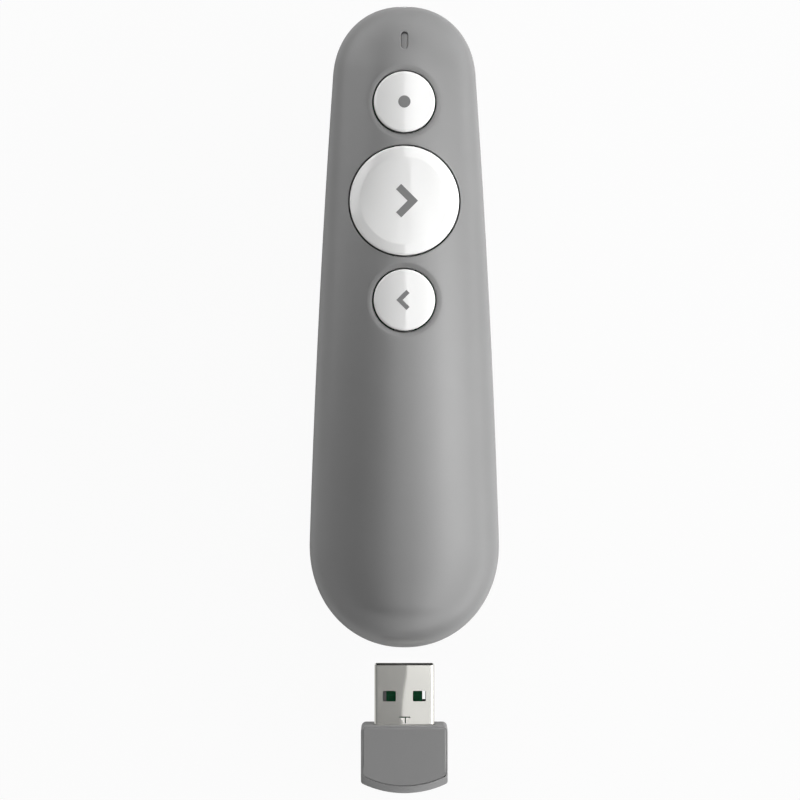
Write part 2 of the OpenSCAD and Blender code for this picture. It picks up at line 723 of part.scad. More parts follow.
// Its curved end continues the tail of the housing when the receiver is docked
module receiver_cap() {
    end_r = 19.6;                            // plan radius of the end
    end_bevel = 1.5;                         // width of the bevel over the end
    bevel_drop = 0.6;                        // height of that bevel
    low_bevel = 2.2;                         // width and height of the bevel under the end
    color(BODY_GREY) difference() {
        intersection() {
            translate([0, 0, dock_z]) along_y(cap_y0 - 1, cap_y1) soft_rect(cap_w, cap_t, 0.4);
            translate([0, cap_y1 - cap_len, 0]) linear_extrude(body_h) soft_rect(cap_w, 2 * cap_len, 1);
            translate([0, cap_y0 + end_r, dock_z]) rotate_extrude($fn = 160) polygon([
                [0, -cap_t / 2 - 1], [end_r - low_bevel, -cap_t / 2 - EPS],
                [end_r - 0.1, -cap_t / 2 + low_bevel], [end_r, 0],
                [end_r - 0.1, cap_t / 2 - bevel_drop], [end_r - end_bevel, cap_t / 2 + EPS],
                [0, cap_t / 2 + 1]]);
        }
        translate([0, 0, dock_z]) along_y(cap_y1 - plug_root - 0.2, cap_y1 + 1)
            square([plug_w + 0.1, plug_t + 0.1], center = true);
    }
}

module plug_shell() {
    window_x = 3.0;
    window_w = 2.6;
    window_l = 2.1;
    window_y = plug_y1 - 6.2;
    color(STEEL) difference() {
        translate([0, 0, dock_z]) along_y(cap_y1 - plug_root, plug_y1) soft_rect(plug_w, plug_t, 0.6);
        translate([0, 0, dock_z]) along_y(cap_y1 - plug_root - 1, plug_y1 + 1)
            soft_rect(plug_w - 2 * sheet, plug_t - 2 * sheet, 0.35);
        for (s = [-1, 1])
            box([s * window_x - window_w / 2, window_y - window_l / 2, dock_z],
                [s * window_x + window_w / 2, window_y + window_l / 2, body_h]);
    }
}

stick_half = plug_w * 0.3;                   // half width of the receiver's board
finger_pitch = stick_half * 0.55;

module receiver_board() {
    color(BOARD_GREEN) box([-stick_half, cap_y1 - plug_root + 0.2, dock_z + 0.2],
        [stick_half, plug_y1 - 0.8, dock_z + 1.2]);
}

module contact_fingers() {
    color(GOLD) for (k = [-1.5:1:1.5])
        box([k * finger_pitch - 0.5, plug_y1 - 9, dock_z + 0.12],
            [k * finger_pitch + 0.5, plug_y1 - 1.2, dock_z + 0.2]);
}

module plug_insulator() {
    half = plug_w / 2 - sheet - 0.3;
    color(BLACK) difference() {
        box([-half, cap_y1 - plug_root + 0.2, dock_z + 0.2],
            [half, plug_y1 - 0.4, dock_z + plug_t / 2 - sheet - 0.05]);
        box([-stick_half - TOUCH, cap_y1 - plug_root, dock_z],
            [stick_half + TOUCH, plug_y1 - 0.7, dock_z + 3]);
    }
}

top_shell();
bottom_shell();
battery_door();
inner_frame();
laser_button();
next_button();
back_button();
laser_plunger();
next_plunger();
back_plunger();
laser_switch();
next_switch();
back_switch();
main_board();
radio_chip();
crystal();
chip_antenna();
passives();
status_led();
light_pipe();
laser_barrel();
laser_lens();
laser_diode();
laser_leads();
window_bezel();
laser_window();
battery_cell();
battery_terminal();
negative_spring();
positive_contact();
case_screws();
receiver_cap();
plug_shell();
receiver_board();
contact_fingers();
plug_insulator();
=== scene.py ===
import math

import bmesh
import bpy
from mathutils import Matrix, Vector
from mathutils.geometry import delaunay_2d_cdt


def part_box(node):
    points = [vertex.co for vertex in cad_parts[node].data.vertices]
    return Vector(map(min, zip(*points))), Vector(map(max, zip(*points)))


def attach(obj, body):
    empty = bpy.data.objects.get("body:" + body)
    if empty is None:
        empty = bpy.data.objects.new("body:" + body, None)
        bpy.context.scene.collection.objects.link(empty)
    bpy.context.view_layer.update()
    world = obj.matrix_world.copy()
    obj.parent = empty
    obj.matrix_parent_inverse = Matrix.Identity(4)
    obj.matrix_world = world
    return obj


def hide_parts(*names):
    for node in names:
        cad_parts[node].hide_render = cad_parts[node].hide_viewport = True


bl_info = {
    "name": "Presentation clicker",
    "version": (1, 0, 0),
    "blender": (4, 5, 0),
    "location": "3D View > Sidebar > Clicker",
    "description": "Dresses the packed model of a presentation clicker and sets up its studio",
    "category": "Object",
}

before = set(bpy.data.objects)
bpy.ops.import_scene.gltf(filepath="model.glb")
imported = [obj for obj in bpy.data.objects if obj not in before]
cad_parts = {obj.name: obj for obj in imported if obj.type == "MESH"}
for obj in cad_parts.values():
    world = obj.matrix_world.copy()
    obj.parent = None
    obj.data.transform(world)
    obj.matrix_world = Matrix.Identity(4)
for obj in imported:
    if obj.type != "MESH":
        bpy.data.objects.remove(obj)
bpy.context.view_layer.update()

MM = 0.001
SECTION = 2.3             # squareness of the cross-section
TAIL_POWER = 2.05         # squareness of the tail, seen from above
NOSE_POWER = 2.2          # squareness of the nose, seen from above
SIDE_POWER = 2            # squareness of both ends, seen from the side
STATIONS = 200            # steps along the housing
ARC_OUT = 96              # steps round the outer skin of one shell
ARC_IN = 40               # steps round the inner skin
TURNS = 128               # points round a large circle
EDGE = 0.15               # rounding of the housing's edges, mm
QUARTER = [math.radians(a) for a in (0, 22.5, 45, 67.5, 90)]


# ---- sizes and colours ----

def size(name, description, mm):
    """A length that is given in millimetres."""
    return bpy.props.FloatProperty(
        name=name, description=description, default=mm * MM, min=0.0, precision=5, unit="LENGTH")


def colour(name, description, hex_value):
    """A colour that is given as an sRGB hex value."""
    return bpy.props.FloatVectorProperty(
        name=name, description=description, default=linear(hex_value), min=0.0, max=1.0,
        size=4, subtype="COLOR")


def linear(hex_value):
    """The linear colour of an sRGB hex value."""
    parts = [int(hex_value[i:i + 2], 16) / 255 for i in (1, 3, 5)]
    return tuple(p / 12.92 if p <= 0.04045 else ((p + 0.055) / 1.055) ** 2.4 for p in parts) + (1.0,)


class ClickerSizes(bpy.types.PropertyGroup):
    """Sizes of the clicker, the same as in its CAD source."""
    body_len: size("Housing length", "Length of the housing from tail to nose", 127.6)
    body_w: size("Housing width", "Widest width of the housing, near its tail", 37.7)
    nose_w: size("Nose width", "Width where the nose starts to round", 28.4)
    side_bow: size("Side bow", "How far the long sides bow outwards", 0.45)
    body_h: size("Housing height", "Height of the housing over the battery", 20.4)
    nose_h: size("Nose height", "Height where the nose starts to round", 17.4)
    part_z: size("Parting line", "Height of the parting line above the table", 9.8)
    crest_from_nose: size("Crest", "Distance from the nose to the highest point", 91.8)
    tail_reach: size("Tail from above", "Length of the rounded tail, seen from above", 21.2)
    nose_reach: size("Nose from above", "Length of the rounded nose, seen from above", 13.8)
    tail_round: size("Tail from the side", "Length of the rounded tail from the side", 9)
    nose_round: size("Nose from the side", "Length of the rounded nose from the side", 13)
    belly_cut: size("Belly cut", "How far the flat is cut into the round belly", 1.4)
    nose_lift: size("Nose lift", "How far the underside lifts at the nose", 1.6)
    wall: size("Wall", "Thickness of the housing walls", 1.6)
    lap_h: size("Lap", "Height of the lap joint between the shells", 0.7)
    seam: size("Seam", "Width of the groove between the shells", 0.15)
    small_d: size("Small buttons", "Diameter of the laser and back buttons", 12)
    big_d: size("Big button", "Diameter of the next button", 21.5)
    button_pitch: size("Button pitch", "Distance from one button centre to the next", 19.5)
    laser_from_nose: size("First button", "Distance from the nose to the laser button", 19.8)
    button_gap: size("Button gap", "Gap between a button and its hole", 0.3)
    button_proud: size("Button height", "Height of the buttons above the housing", 0.35)
    dish_d: size("Dish", "Diameter of the dish in the next button", 17.2)
    dish_depth: size("Dish depth", "Depth of the dish in the next button", 0.6)
    hollow_d: size("Hollow", "Diameter of the hollow round a small button", 14.8)
    hollow_depth: size("Hollow depth", "Depth of that hollow at the button", 0.22)
    slot_w: size("Light slot width", "Width of the light slot", 1.4)
    slot_len: size("Light slot length", "Length of the light slot", 3.5)
    slot_from_nose: size("Light slot", "Distance from the nose to the light slot", 7.5)
    window_d: size("Laser window", "Diameter of the window opening in the nose", 2.6)
    door_t: size("Door", "Thickness of the battery door", 1.4)
    opening_w: size("Door opening", "Width of the opening for the battery door", 14.8)
    door_gap: size("Door gap", "Gap between the battery door and its opening", 0.2)
    plug_w: size("Plug width", "Width of the plug", 12)
    plug_t: size("Plug thickness", "Thickness of the plug", 4.5)
    plug_len: size("Plug length", "Length of the plug outside its cap", 12)
    sheet: size("Plug sheet", "Thickness of the plug's sheet metal", 0.3)
    cap_w: size("Cap width", "Width of the receiver cap", 17.3)
    cap_t: size("Cap thickness", "Thickness of the receiver cap", 8)
    cap_len: size("Cap length", "Length of the receiver cap", 13.5)
    dock_gap: size("Dock gap", "Gap between the docked receiver and its pocket", 0.3)
    drawn_gap: size("Drawn out", "Gap between the housing and the drawn receiver", 3.7)


class ClickerColours(bpy.types.PropertyGroup):
    """Colours of the clicker."""
    housing: colour("Housing", "Mid grey ABS of the shells and the cap", "#7D7D7D")
    button: colour("Buttons", "White ABS of the button caps", "#FAFAF9")
    sign: colour("Signs", "Grey ink of the signs on the buttons", "#828282")
    steel: colour("Plug", "Nickel plate of the plug", "#CFCEC9")
    board: colour("Boards", "Green solder mask", "#004F2E")
    light_guide: colour("Light guide", "Smoked light guide in the slot", "#6C6C6C")


# ---- form of the housing, in millimetres ----

def signed_pow(value, power):
    return math.copysign(abs(value) ** power, value)


def ease(d, reach, power):
    """Falls from 1 to 0 along one rounded end."""
    return 1.0 if d <= 0 else max(0.0, 1 - min(1.0, d / reach) ** power) ** (1 / power)


def smooth(t):
    """Rises softly from 0 to 1."""
    t = min(1.0, max(0.0, t))
    return t * t * (3 - 2 * t)


class Form:
    """The clicker's sizes in millimetres, and the skin of its housing."""

    def __init__(self, sizes):
        for key in ClickerSizes.__annotations__:
            setattr(self, key, getattr(sizes, key) / MM)
        self.nose = self.body_len / 2
        self.crest = self.nose - self.crest_from_nose
        self.tail_join = self.tail_reach - self.nose
        self.nose_join = self.nose - self.nose_reach
        self.laser_y = self.nose - self.laser_from_nose
        self.next_y = self.laser_y - self.button_pitch
        self.back_y = self.next_y - self.button_pitch
        self.slot_y = self.nose - self.slot_from_nose
        self.small_hole = self.small_d / 2 + self.button_gap
        self.big_hole = self.big_d / 2 + self.button_gap
        self.cap_y1 = -self.nose - self.drawn_gap - self.plug_len
        self.cap_y0 = self.cap_y1 - self.cap_len
        self.plug_y1 = self.cap_y1 + self.plug_len
        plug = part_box("plug_shell")
        self.dock_z = (plug[0].z + plug[1].z) / 2 / MM

    def ends(self, y, inset, tail, nose, tail_power, nose_power):
        return (ease(tail - self.nose - y, tail - inset, tail_power)
                * ease(y - self.nose + nose, nose - inset, nose_power))

    def side_line(self, y):
        t = (y - self.tail_join) / (self.nose_join - self.tail_join)
        return (1 - t) * self.body_w / 2 + t * self.nose_w / 2 + self.side_bow * 4 * t * (1 - t)

    def past_crest(self, y):
        return (y - self.crest) / (self.nose_join - self.crest)

    def half_w(self, y, inset=0.0):
        return (self.side_line(y) - inset) * self.ends(
            y, inset, self.tail_reach, self.nose_reach, TAIL_POWER, NOSE_POWER)

    def rise(self, y, side, inset=0.0):
        """Height of the skin over the parting line, or its depth below it."""
        past = self.past_crest(y)
        if side > 0:
            line = self.body_h - self.part_z - (self.body_h - self.nose_h) * past ** 2
        else:
            line = self.part_z + self.belly_cut - (self.belly_cut + self.nose_lift) * past ** 4
        return (line - inset) * self.ends(
            y, inset, self.tail_round, self.nose_round, SIDE_POWER, SIDE_POWER)

    def skin_z(self, x, y, side=1, inset=0.0):
        """Height of a skin at x and y, without the hollows."""
        w = self.half_w(y, inset)
        t = min(1.0, abs(x) / w) if w > 0 else 1.0
        z = self.part_z + side * self.rise(y, side, inset) * (1 - t ** SECTION) ** (1 / SECTION)
        return z if side > 0 else self.floor(z, inset)

    def floor(self, z, inset):
        """The flat of the underside, which runs softly into the belly."""
        soft = 0.6
        z -= inset
        return inset + (max(z, 0.0) + max(0.0, soft - abs(z)) ** 2 / (4 * soft))

    def hollow(self, x, y):
        """Depth of the finger hollows at x and y."""
        depth = 0.0
        for centre in (self.laser_y, self.back_y):
            rim = self.hollow_d / 2
            t = (rim - math.hypot(x, y - centre)) / (rim - self.small_hole)
            depth += self.hollow_depth * min(1.2, max(0.0, t)) ** 1.15
        return depth

    def end_y(self, x, rise, end):
        """Where the skin at x stands rise off the parting line, at the tail (-1) or nose (1)."""
        side = 1 if rise >= 0 else -1
        near, far = end * self.nose, end * (self.nose - 30)
        for _ in range(44):
            y = (near + far) / 2
            w, h = self.half_w(y), self.rise(y, side)
            if w <= 0 or h <= 0 or (abs(x) / w) ** SECTION + (abs(rise) / h) ** SECTION > 1:
                near = y
            else:
                far = y
        return far


# ---- shapes ----

class Shape:
    """Points, in millimetres, and faces of a piece."""

    def __init__(self):
        self.points, self.faces, self.finish = [], [], []

    def row(self, points):
        start = len(self.points)
        self.points.extend(points)
        return list(range(start, len(self.points)))

    def face(self, ids, finish=0):
        self.faces.append(ids)
        self.finish.append(finish)

    def bridge(self, low, high, closed=True, finish=0):
        for i in range(len(low) - (0 if closed else 1)):
            j = (i + 1) % len(low)
            self.face([low[i], low[j], high[j], high[i]], finish)

    def tube(self, rings, start=False, end=False, loop=False, finish=0):
        """Skins closed rings of points, in order."""
        rows = [self.row(ring) for ring in rings]
        for low, high in zip(rows, rows[1:] + (rows[:1] if loop else [])):
            self.bridge(low, high, finish=finish)
        if start:
            self.face(rows[0][::-1], finish)
        if end:
            self.face(rows[-1], finish)
        return self

    def mesh(self, name):
        """Welds the points, turns the faces outwards and returns the mesh."""
        made = bpy.data.meshes.new(name)
        made.from_pydata([Vector(p) * MM for p in self.points], [], self.faces)
        made.polygons.foreach_set("material_index", self.finish)
        work = bmesh.new()
        work.from_mesh(made)
        bmesh.ops.remove_doubles(work, verts=work.verts, dist=1e-7)
        bmesh.ops.dissolve_degenerate(work, edges=work.edges, dist=1e-8)
        loose = [v for v in work.verts if not v.link_faces]
        bmesh.ops.delete(work, geom=loose, context="VERTS")
        bmesh.ops.recalc_face_normals(work, faces=work.faces)
        if work.calc_volume(signed=True) < 0:
            bmesh.ops.reverse_faces(work, faces=work.faces)
        work.to_mesh(made)
        work.free()
        return made


def cut(mesh, cutters, operation="DIFFERENCE"):
    """Cuts the mesh with each shape, and returns the new mesh."""
    body = bpy.data.objects.new("work", mesh)
    bpy.context.scene.collection.objects.link(body)
    for shape in cutters:
        tool = bpy.data.objects.new("tool", shape.mesh("tool"))
        bpy.context.scene.collection.objects.link(tool)
        step = body.modifiers.new("cut", "BOOLEAN")
        step.operation = operation
        step.solver = "MANIFOLD"
        step.object = tool
        result = bpy.data.meshes.new_from_object(
            body.evaluated_get(bpy.context.evaluated_depsgraph_get()))
        body.modifiers.clear()
        body.data = result
        tool_mesh = tool.data
        bpy.data.objects.remove(tool)
        bpy.data.meshes.remove(tool_mesh)
    result = body.data
    bpy.data.objects.remove(body)
    return result


def joined(mesh, shapes):
    """The mesh with further closed shapes added to it."""
    work = bmesh.new()
    work.from_mesh(mesh)
    for shape in shapes:
        work.from_mesh(shape.mesh("part"))
    work.to_mesh(mesh)
    work.free()
    return mesh


def piece(name, mesh, finishes, body, stands_for=(), sharp=35):
    """Makes a piece of the clicker from a finished mesh."""
    mesh.name = name
    mesh.materials.clear()
    for finish in finishes:
        mesh.materials.append(finish)
    mesh.shade_smooth()
    mesh.set_sharp_from_angle(angle=math.radians(sharp))
    made = bpy.data.objects.new(name, mesh)
    bpy.context.scene.collection.objects.link(made)
    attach(made, body)
    if stands_for:
        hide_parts(*stands_for)
    return made


def circle(r, turns=TURNS, x=0.0, y=0.0):
    return [(x + r * math.cos(2 * math.pi * k / turns), y + r * math.sin(2 * math.pi * k / turns))
            for k in range(turns)]


def round_rect(w, h, r, arc=6, along=1, up=1):
    """Rectangle with rounded corners, with points along its straight sides."""
    r = max(r, 0.0)
    signs = ((1, 1), (-1, 1), (-1, -1), (1, -1))
    points = []
    for q in range(4):
        centre = [signs[q][0] * (w / 2 - r), signs[q][1] * (h / 2 - r)]
        arc_points = [(centre[0] + r * math.cos(a), centre[1] + r * math.sin(a))
                      for a in (math.pi / 2 * (q + k / arc) for k in range(arc + 1))]
        points += arc_points
        after = signs[(q + 1) % 4]
        turn = math.pi / 2 * (q + 1)
        goal = (after[0] * (w / 2 - r) + r * math.cos(turn), after[1] * (h / 2 - r) + r * math.sin(turn))
        steps = along if q % 2 == 0 else up
        last = arc_points[-1]
        points += [(last[0] + (goal[0] - last[0]) * k / steps, last[1] + (goal[1] - last[1]) * k / steps)
                   for k in range(1, steps)]
    return points


def upright(points, z):
    return [(x, y, z) for x, y in points]


def soft_box(lo, hi, edge=0.15):
    """Box with rounded edges, from its low and high corners."""
    w, l = hi[0] - lo[0], hi[1] - lo[1]
    cx, cy = (lo[0] + hi[0]) / 2, (lo[1] + hi[1]) / 2
    shape = Shape()
    rings = [(edge * (1 - math.sin(a)), lo[2] + edge * (1 - math.cos(a))) for a in QUARTER]
    rings += [(edge * (1 - math.cos(a)), hi[2] - edge * (1 - math.sin(a))) for a in QUARTER]
    return shape.tube(
        [[(cx + x, cy + y, z) for x, y in round_rect(w - 2 * d, l - 2 * d, max(edge - d, 0.02) + 0.05, 4)]
         for d, z in rings], start=True, end=True)


def lathe(profile, turns=64, x=0.0, y=0.0, z=0.0, along="Z", loop=True):
    """Turned shape: profile lists radius and height along the axis."""
    rings = []
    for r, h in profile:
        ring = circle(r, turns)
        rings.append([(x + a, y + b, z + h) if along == "Z" else (x + a, y + h, z - b) for a, b in ring])
    return Shape().tube(rings, loop=loop)


# ---- shells ----

class Opening:
    """Round or oblong opening through the back of the housing."""

    def __init__(self, y, r, half_len=0.0, supports=(0.25, 0.55), turns=TURNS):
        self.y, self.r, self.half_len, self.turns = y, r, half_len, turns
        self.supports = supports
        self.reach = supports[-1] + 0.45

    def outline(self, offset):
        return [(x, self.y + y + math.copysign(self.half_len, y + 1e-9))
                for x, y in circle(self.r + offset, self.turns)]

    def distance(self, x, y):
        return math.hypot(x, max(0.0, abs(y - self.y) - self.half_len)) - self.r


class Skin:
    """Outer or inner skin of one shell, as a sheet over u, along, and v, across."""

    def __init__(self, form, side, inset, steps, rim):
        self.form, self.side, self.inset, self.steps, self.rim = form, side, inset, steps, rim

    def y(self, u):
        return -(self.form.nose - self.inset) * math.cos(math.pi * u / STATIONS)

    def dressed(self, x, y, z):
        """The point with the hollows pressed in."""
        if self.side > 0 and self.inset == 0:
            z -= self.form.hollow(x, y)
        return (x, y, z)

    def at(self, u, v):
        y = self.y(u)
        w = self.form.half_w(y, self.inset)
        a = math.pi * v / self.steps
        x = w * signed_pow(math.cos(a), 2 / SECTION) if 0 < v < self.steps else w * (1 if v == 0 else -1)
        if v in (0, self.steps):
            return (x, y, self.rim(u))
        z = self.form.part_z + self.side * self.form.rise(y, self.side, self.inset) * abs(
            math.sin(a)) ** (2 / SECTION)
        if self.side < 0:
            z = self.form.floor(z, self.inset)
        elif self.inset > 0:
            z = max(z, self.rim(u))
        return self.dressed(x, y, z)

    def over(self, x, y):
        return self.dressed(x, y, self.form.skin_z(x, y, self.side, self.inset))

    def spot(self, x, y):
        """u and v of the point at x and y."""
        u = STATIONS / math.pi * math.acos(-y / (self.form.nose - self.inset))
        c = signed_pow(x / self.form.half_w(y, self.inset), SECTION / 2)
        return u, self.steps / math.pi * math.acos(max(-1.0, min(1.0, c)))


def inside_any(openings, x, y, offset):
    return any(o.distance(x, y) < offset for o in openings)


def pierce(shape, skin, ids, openings, offset):
    """Adds the skin's faces with openings left out. Returns the rim of each opening."""
    apart = {}
    for u, line in enumerate(ids):
        for v, i in enumerate(line):
            x, y, _ = shape.points[i]
            apart[u, v] = min((o.distance(x, y) - o.reach for o in openings), default=9.0)
    gone = set()
    for u in range(len(ids) - 1):
        for v in range(len(ids[0]) - 1):
            corners = [(u, v), (u, v + 1), (u + 1, v + 1), (u + 1, v)]
            if min(apart[c] for c in corners) < 0:
                gone.add((u, v))
            else:
                shape.face([ids[a][b] for a, b in corners])
    if not openings:
        return []
    spots, owners, edges, known = [], [], [], {}

    def corner(c):
        if c not in known:
            known[c] = len(spots)
            spots.append(c)
            owners.append(ids[c[0]][c[1]])
        return known[c]

    uses = {}
    for u, v in gone:
        ring = [(u, v), (u, v + 1), (u + 1, v + 1), (u + 1, v)]
        for a, b in zip(ring, ring[1:] + ring[:1]):
            uses.setdefault(frozenset((a, b)), []).append((a, b))
            if apart[a] >= 0:
                corner(a)
    for pairs in uses.values():
        if len(pairs) == 1:
            edges.append((corner(pairs[0][0]), corner(pairs[0][1])))
    rims = []
    for o in openings:
        for step in (offset,) + tuple(offset + s for s in o.supports):
            outline = o.outline(step)
            row = shape.row([skin.over(x, y) for x, y in outline])
            start = len(spots)
            spots.extend(skin.spot(x, y) for x, y in outline)
            owners.extend(row)
            edges.extend((start + k, start + (k + 1) % len(row)) for k in range(len(row)))
            if step == offset:
                rims.append(row)
    along = skin.form.nose * math.pi / STATIONS           # mm per step in the middle
    across = skin.form.nose_w * 0.6 * math.pi / 2 / skin.steps
    flat = [Vector((u * along, v * across)) for u, v in spots]
    _, _, triangles, origins, _, _ = delaunay_2d_cdt(flat, edges, [], 0, 1e-5)
    for triangle in triangles:
        own = [origins[i][0] for i in triangle]
        u, v = (sum(spots[i][k] for i in own) / 3 for k in (0, 1))
        if (int(u), int(v)) not in gone:
            continue
        x, y = (sum(shape.points[owners[i]][k] for i in own) / 3 for k in (0, 1))
        if not inside_any(openings, x, y, offset):
            shape.face([owners[i] for i in own])
    return rims


def shell_mesh(form, side, openings):
    """One shell of the housing, closed, with its openings through the back."""
    parting = form.part_z if side > 0 else form.part_z - form.seam
    lap_in = form.wall / 2 + (0 if side > 0 else 0.1)
    lap_z = form.part_z + form.lap_h - (0 if side > 0 else 0.1)
    first = math.sin(math.pi / ARC_OUT) ** (2 / SECTION) / 2

    def edge(u):
        y = -form.nose * math.cos(math.pi * u / STATIONS)
        return min(EDGE, first * form.rise(y, side))

    outer = Skin(form, side, 0.0, ARC_OUT, lambda u: parting + side * edge(u))
    inner = Skin(form, side, form.wall, ARC_IN, lambda u: lap_z)

    def rim(u, hand):
        r = edge(u)
        steps = [(r * 0.3, parting + side * r * 0.3), (r, parting), (lap_in, parting), (lap_in, lap_z)]
        points = []
        for inset, z in steps:
            y = -(form.nose - inset) * math.cos(math.pi * u / STATIONS)
            points.append((hand * form.half_w(y, inset), y, z))
        return points

    shape = Shape()
    out_rows, in_rows, rims = [], [], []
    for u in range(STATIONS + 1):
        out_rows.append(shape.row([outer.at(u, v) for v in range(ARC_OUT + 1)]))
        in_rows.append(shape.row([inner.at(u, v) for v in range(ARC_IN + 1)]))
        rims.append([shape.row(rim(u, hand)) for hand in (1, -1)])
    for u in range(STATIONS):
        for k, end in ((0, 0), (1, -1)):
            low = [out_rows[u][end]] + rims[u][k] + [in_rows[u][end]]
            high = [out_rows[u + 1][end]] + rims[u + 1][k] + [in_rows[u + 1][end]]
            shape.bridge(low, high, closed=False)
    edges_out = pierce(shape, outer, out_rows, openings, EDGE)
    edges_in = pierce(shape, inner, in_rows, openings, 0.0)
    for o, low, high in zip(openings, edges_out, edges_in):
        chain = [low]
        for a in QUARTER[1:]:
            points = [outer.over(x, y) for x, y in o.outline(EDGE * (1 - math.sin(a)))]
            chain.append(shape.row([(x, y, z - EDGE * (1 - math.cos(a))) for x, y, z in points]))
        chain.append(high)
        for a, b in zip(chain, chain[1:]):
            shape.bridge(a, b)
    return shape.mesh("shell")


def flare():
    """Outward offset and depth of a cutter's rounded edge, from outside the skin."""
    rounding = [(EDGE * (1 - math.sin(a)), EDGE * (1 - math.cos(a))) for a in QUARTER]
    (o0, d0), (o1, d1) = rounding[:2]
    return [(2 * o0 - o1, 2 * d0 - d1)] + rounding[1:]


def end_cutter(form, outline, end, middle, far):
    """Cutter through the tail (-1) or the nose (1), whose edge follows the skin."""
    rise = middle - form.part_z
    rings = [[(x, end * (form.nose + 3), middle + r) for x, r in outline(flare()[0][0])]]
    for offset, depth in flare():
        rings.append([(x, form.end_y(x, rise + r, end) - end * depth, middle + r)
                      for x, r in outline(offset)])
    rings.append([(x, far, middle + r) for x, r in outline(0.0)])
    return Shape().tube(rings, start=True, end=True)


def under_cutter(form, outline, top):
    """Cutter up through the underside, whose edge follows the belly."""
    rings = [upright(outline(flare()[0][0]), -2)]
    for offset, depth in flare():
        rings.append([(x, y, form.skin_z(x, y, -1) + depth) for x, y in outline(offset)])
    rings.append(upright(outline(0.0), top))
    return Shape().tube(rings, start=True, end=True)


def housing_cutters(form):
    """The mouth of the receiver's dock and the hole of the laser window."""
    w, t = form.cap_w + 2 * form.dock_gap, form.cap_t + 2 * form.dock_gap
    return [
        end_cutter(form, lambda d: round_rect(w + 2 * d, t + 2 * d, 0.7 + d, 8, 32, 16), -1,
                   form.dock_z, form.cap_len - form.nose),
        end_cutter(form, lambda d: circle(form.window_d / 2 + d, 96), 1, form.part_z, form.nose - 5),
    ]


class CLICKER_OT_housing(bpy.types.Operator):
    """Makes the two shells of the housing"""
    bl_idname = "clicker.housing"
    bl_label = "Housing"

    def execute(self, context):
        form = Form(context.scene.clicker_sizes)
        screws = post_places()
        ring = form.hollow_d / 2 - form.small_hole - EDGE
        supports = tuple(ring * k / 5 for k in range(1, 6))
        openings = [
            Opening(form.laser_y, form.small_hole, supports=supports),
            Opening(form.next_y, form.big_hole),
            Opening(form.back_y, form.small_hole, supports=supports),
            Opening(form.slot_y, form.slot_w / 2, (form.slot_len - form.slot_w) / 2, (0.15, 0.4), 64),
        ]
        top = cut(shell_mesh(form, 1, openings), housing_cutters(form))
        posts = []
        for x, y, foot in screws:
            roof = form.skin_z(x, y, 1, form.wall) + form.wall / 2
            posts.append(lathe([(0.95, foot), (1.9, foot), (1.9, roof), (0.0, roof),
                                (0.0, foot + 3.2), (0.95, foot + 3.2)], 32, x, y))
        top = joined(top, posts)
        # The hollows round the small buttons take the second finish, whose darker colour is painted shade
        for face in top.polygons:
            x, y, z = face.center / MM
            if form.hollow(x, y) > 0 and z > form.skin_z(x, y) - form.wall / 2:
                face.material_index = 1
        piece("top_shell_skin", top, [satin_abs(), painted_shade_abs()], "housing", ["top_shell"])

        lo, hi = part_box("battery_door")
        y0, y1 = door_span(form)
        mid = (y0 + y1) / 2
        cutters = housing_cutters(form)
        cutters.append(under_cutter(form, lambda d: [
            (x, mid + y) for x, y in round_rect(form.opening_w + 2 * d, y1 - y0 + 2 * d, 1 + d, 8, 8, 24)], 4))
        cutters.append(under_cutter(form, lambda d: circle(4 + d, 64, 0, y0), form.door_t * 0.6))
        for x, y, _ in screws:
            cutters.append(under_cutter(form, lambda d, x=x, y=y: circle(1.95 + d, 48, x, y), 3))
        bottom = cut(shell_mesh(form, -1, []), cutters)
        seat, board_z = 2.6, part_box("main_board")[0].z / MM
        posts = [lathe([(1.95, 1.2), (1.95, seat), (1.05, seat), (1.05, board_z), (2.1, board_z),
                        (2.1, seat + 1.6), (3, seat + 1.6), (3, 1.2)], 32, x, y) for x, y, _ in screws]
        piece("bottom_shell_skin", joined(bottom, posts), [satin_abs()], "housing",
              ["bottom_shell"])
        return {"FINISHED"}


def post_places():
    """x, y and foot of the four screw posts in the top shell, from the screws' solids."""
    lo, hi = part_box("case_screws")
    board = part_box("main_board")
    r = 1.7
    front, rear = hi.y / MM - r, lo.y / MM + r
    rear_x = hi.x / MM - r
    return [(-6, front, board[1].z / MM), (6, front, board[1].z / MM),
            (-rear_x, rear, board[0].z / MM), (rear_x, rear, board[0].z / MM)]


def door_span(form):
    """First and last y of the battery opening."""
    lo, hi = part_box("inner_frame")
    cell_lo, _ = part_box("negative_spring")
    y1 = hi.y / MM - 1
    return cell_lo.y / MM - 0.05, y1


# ---- battery door ----

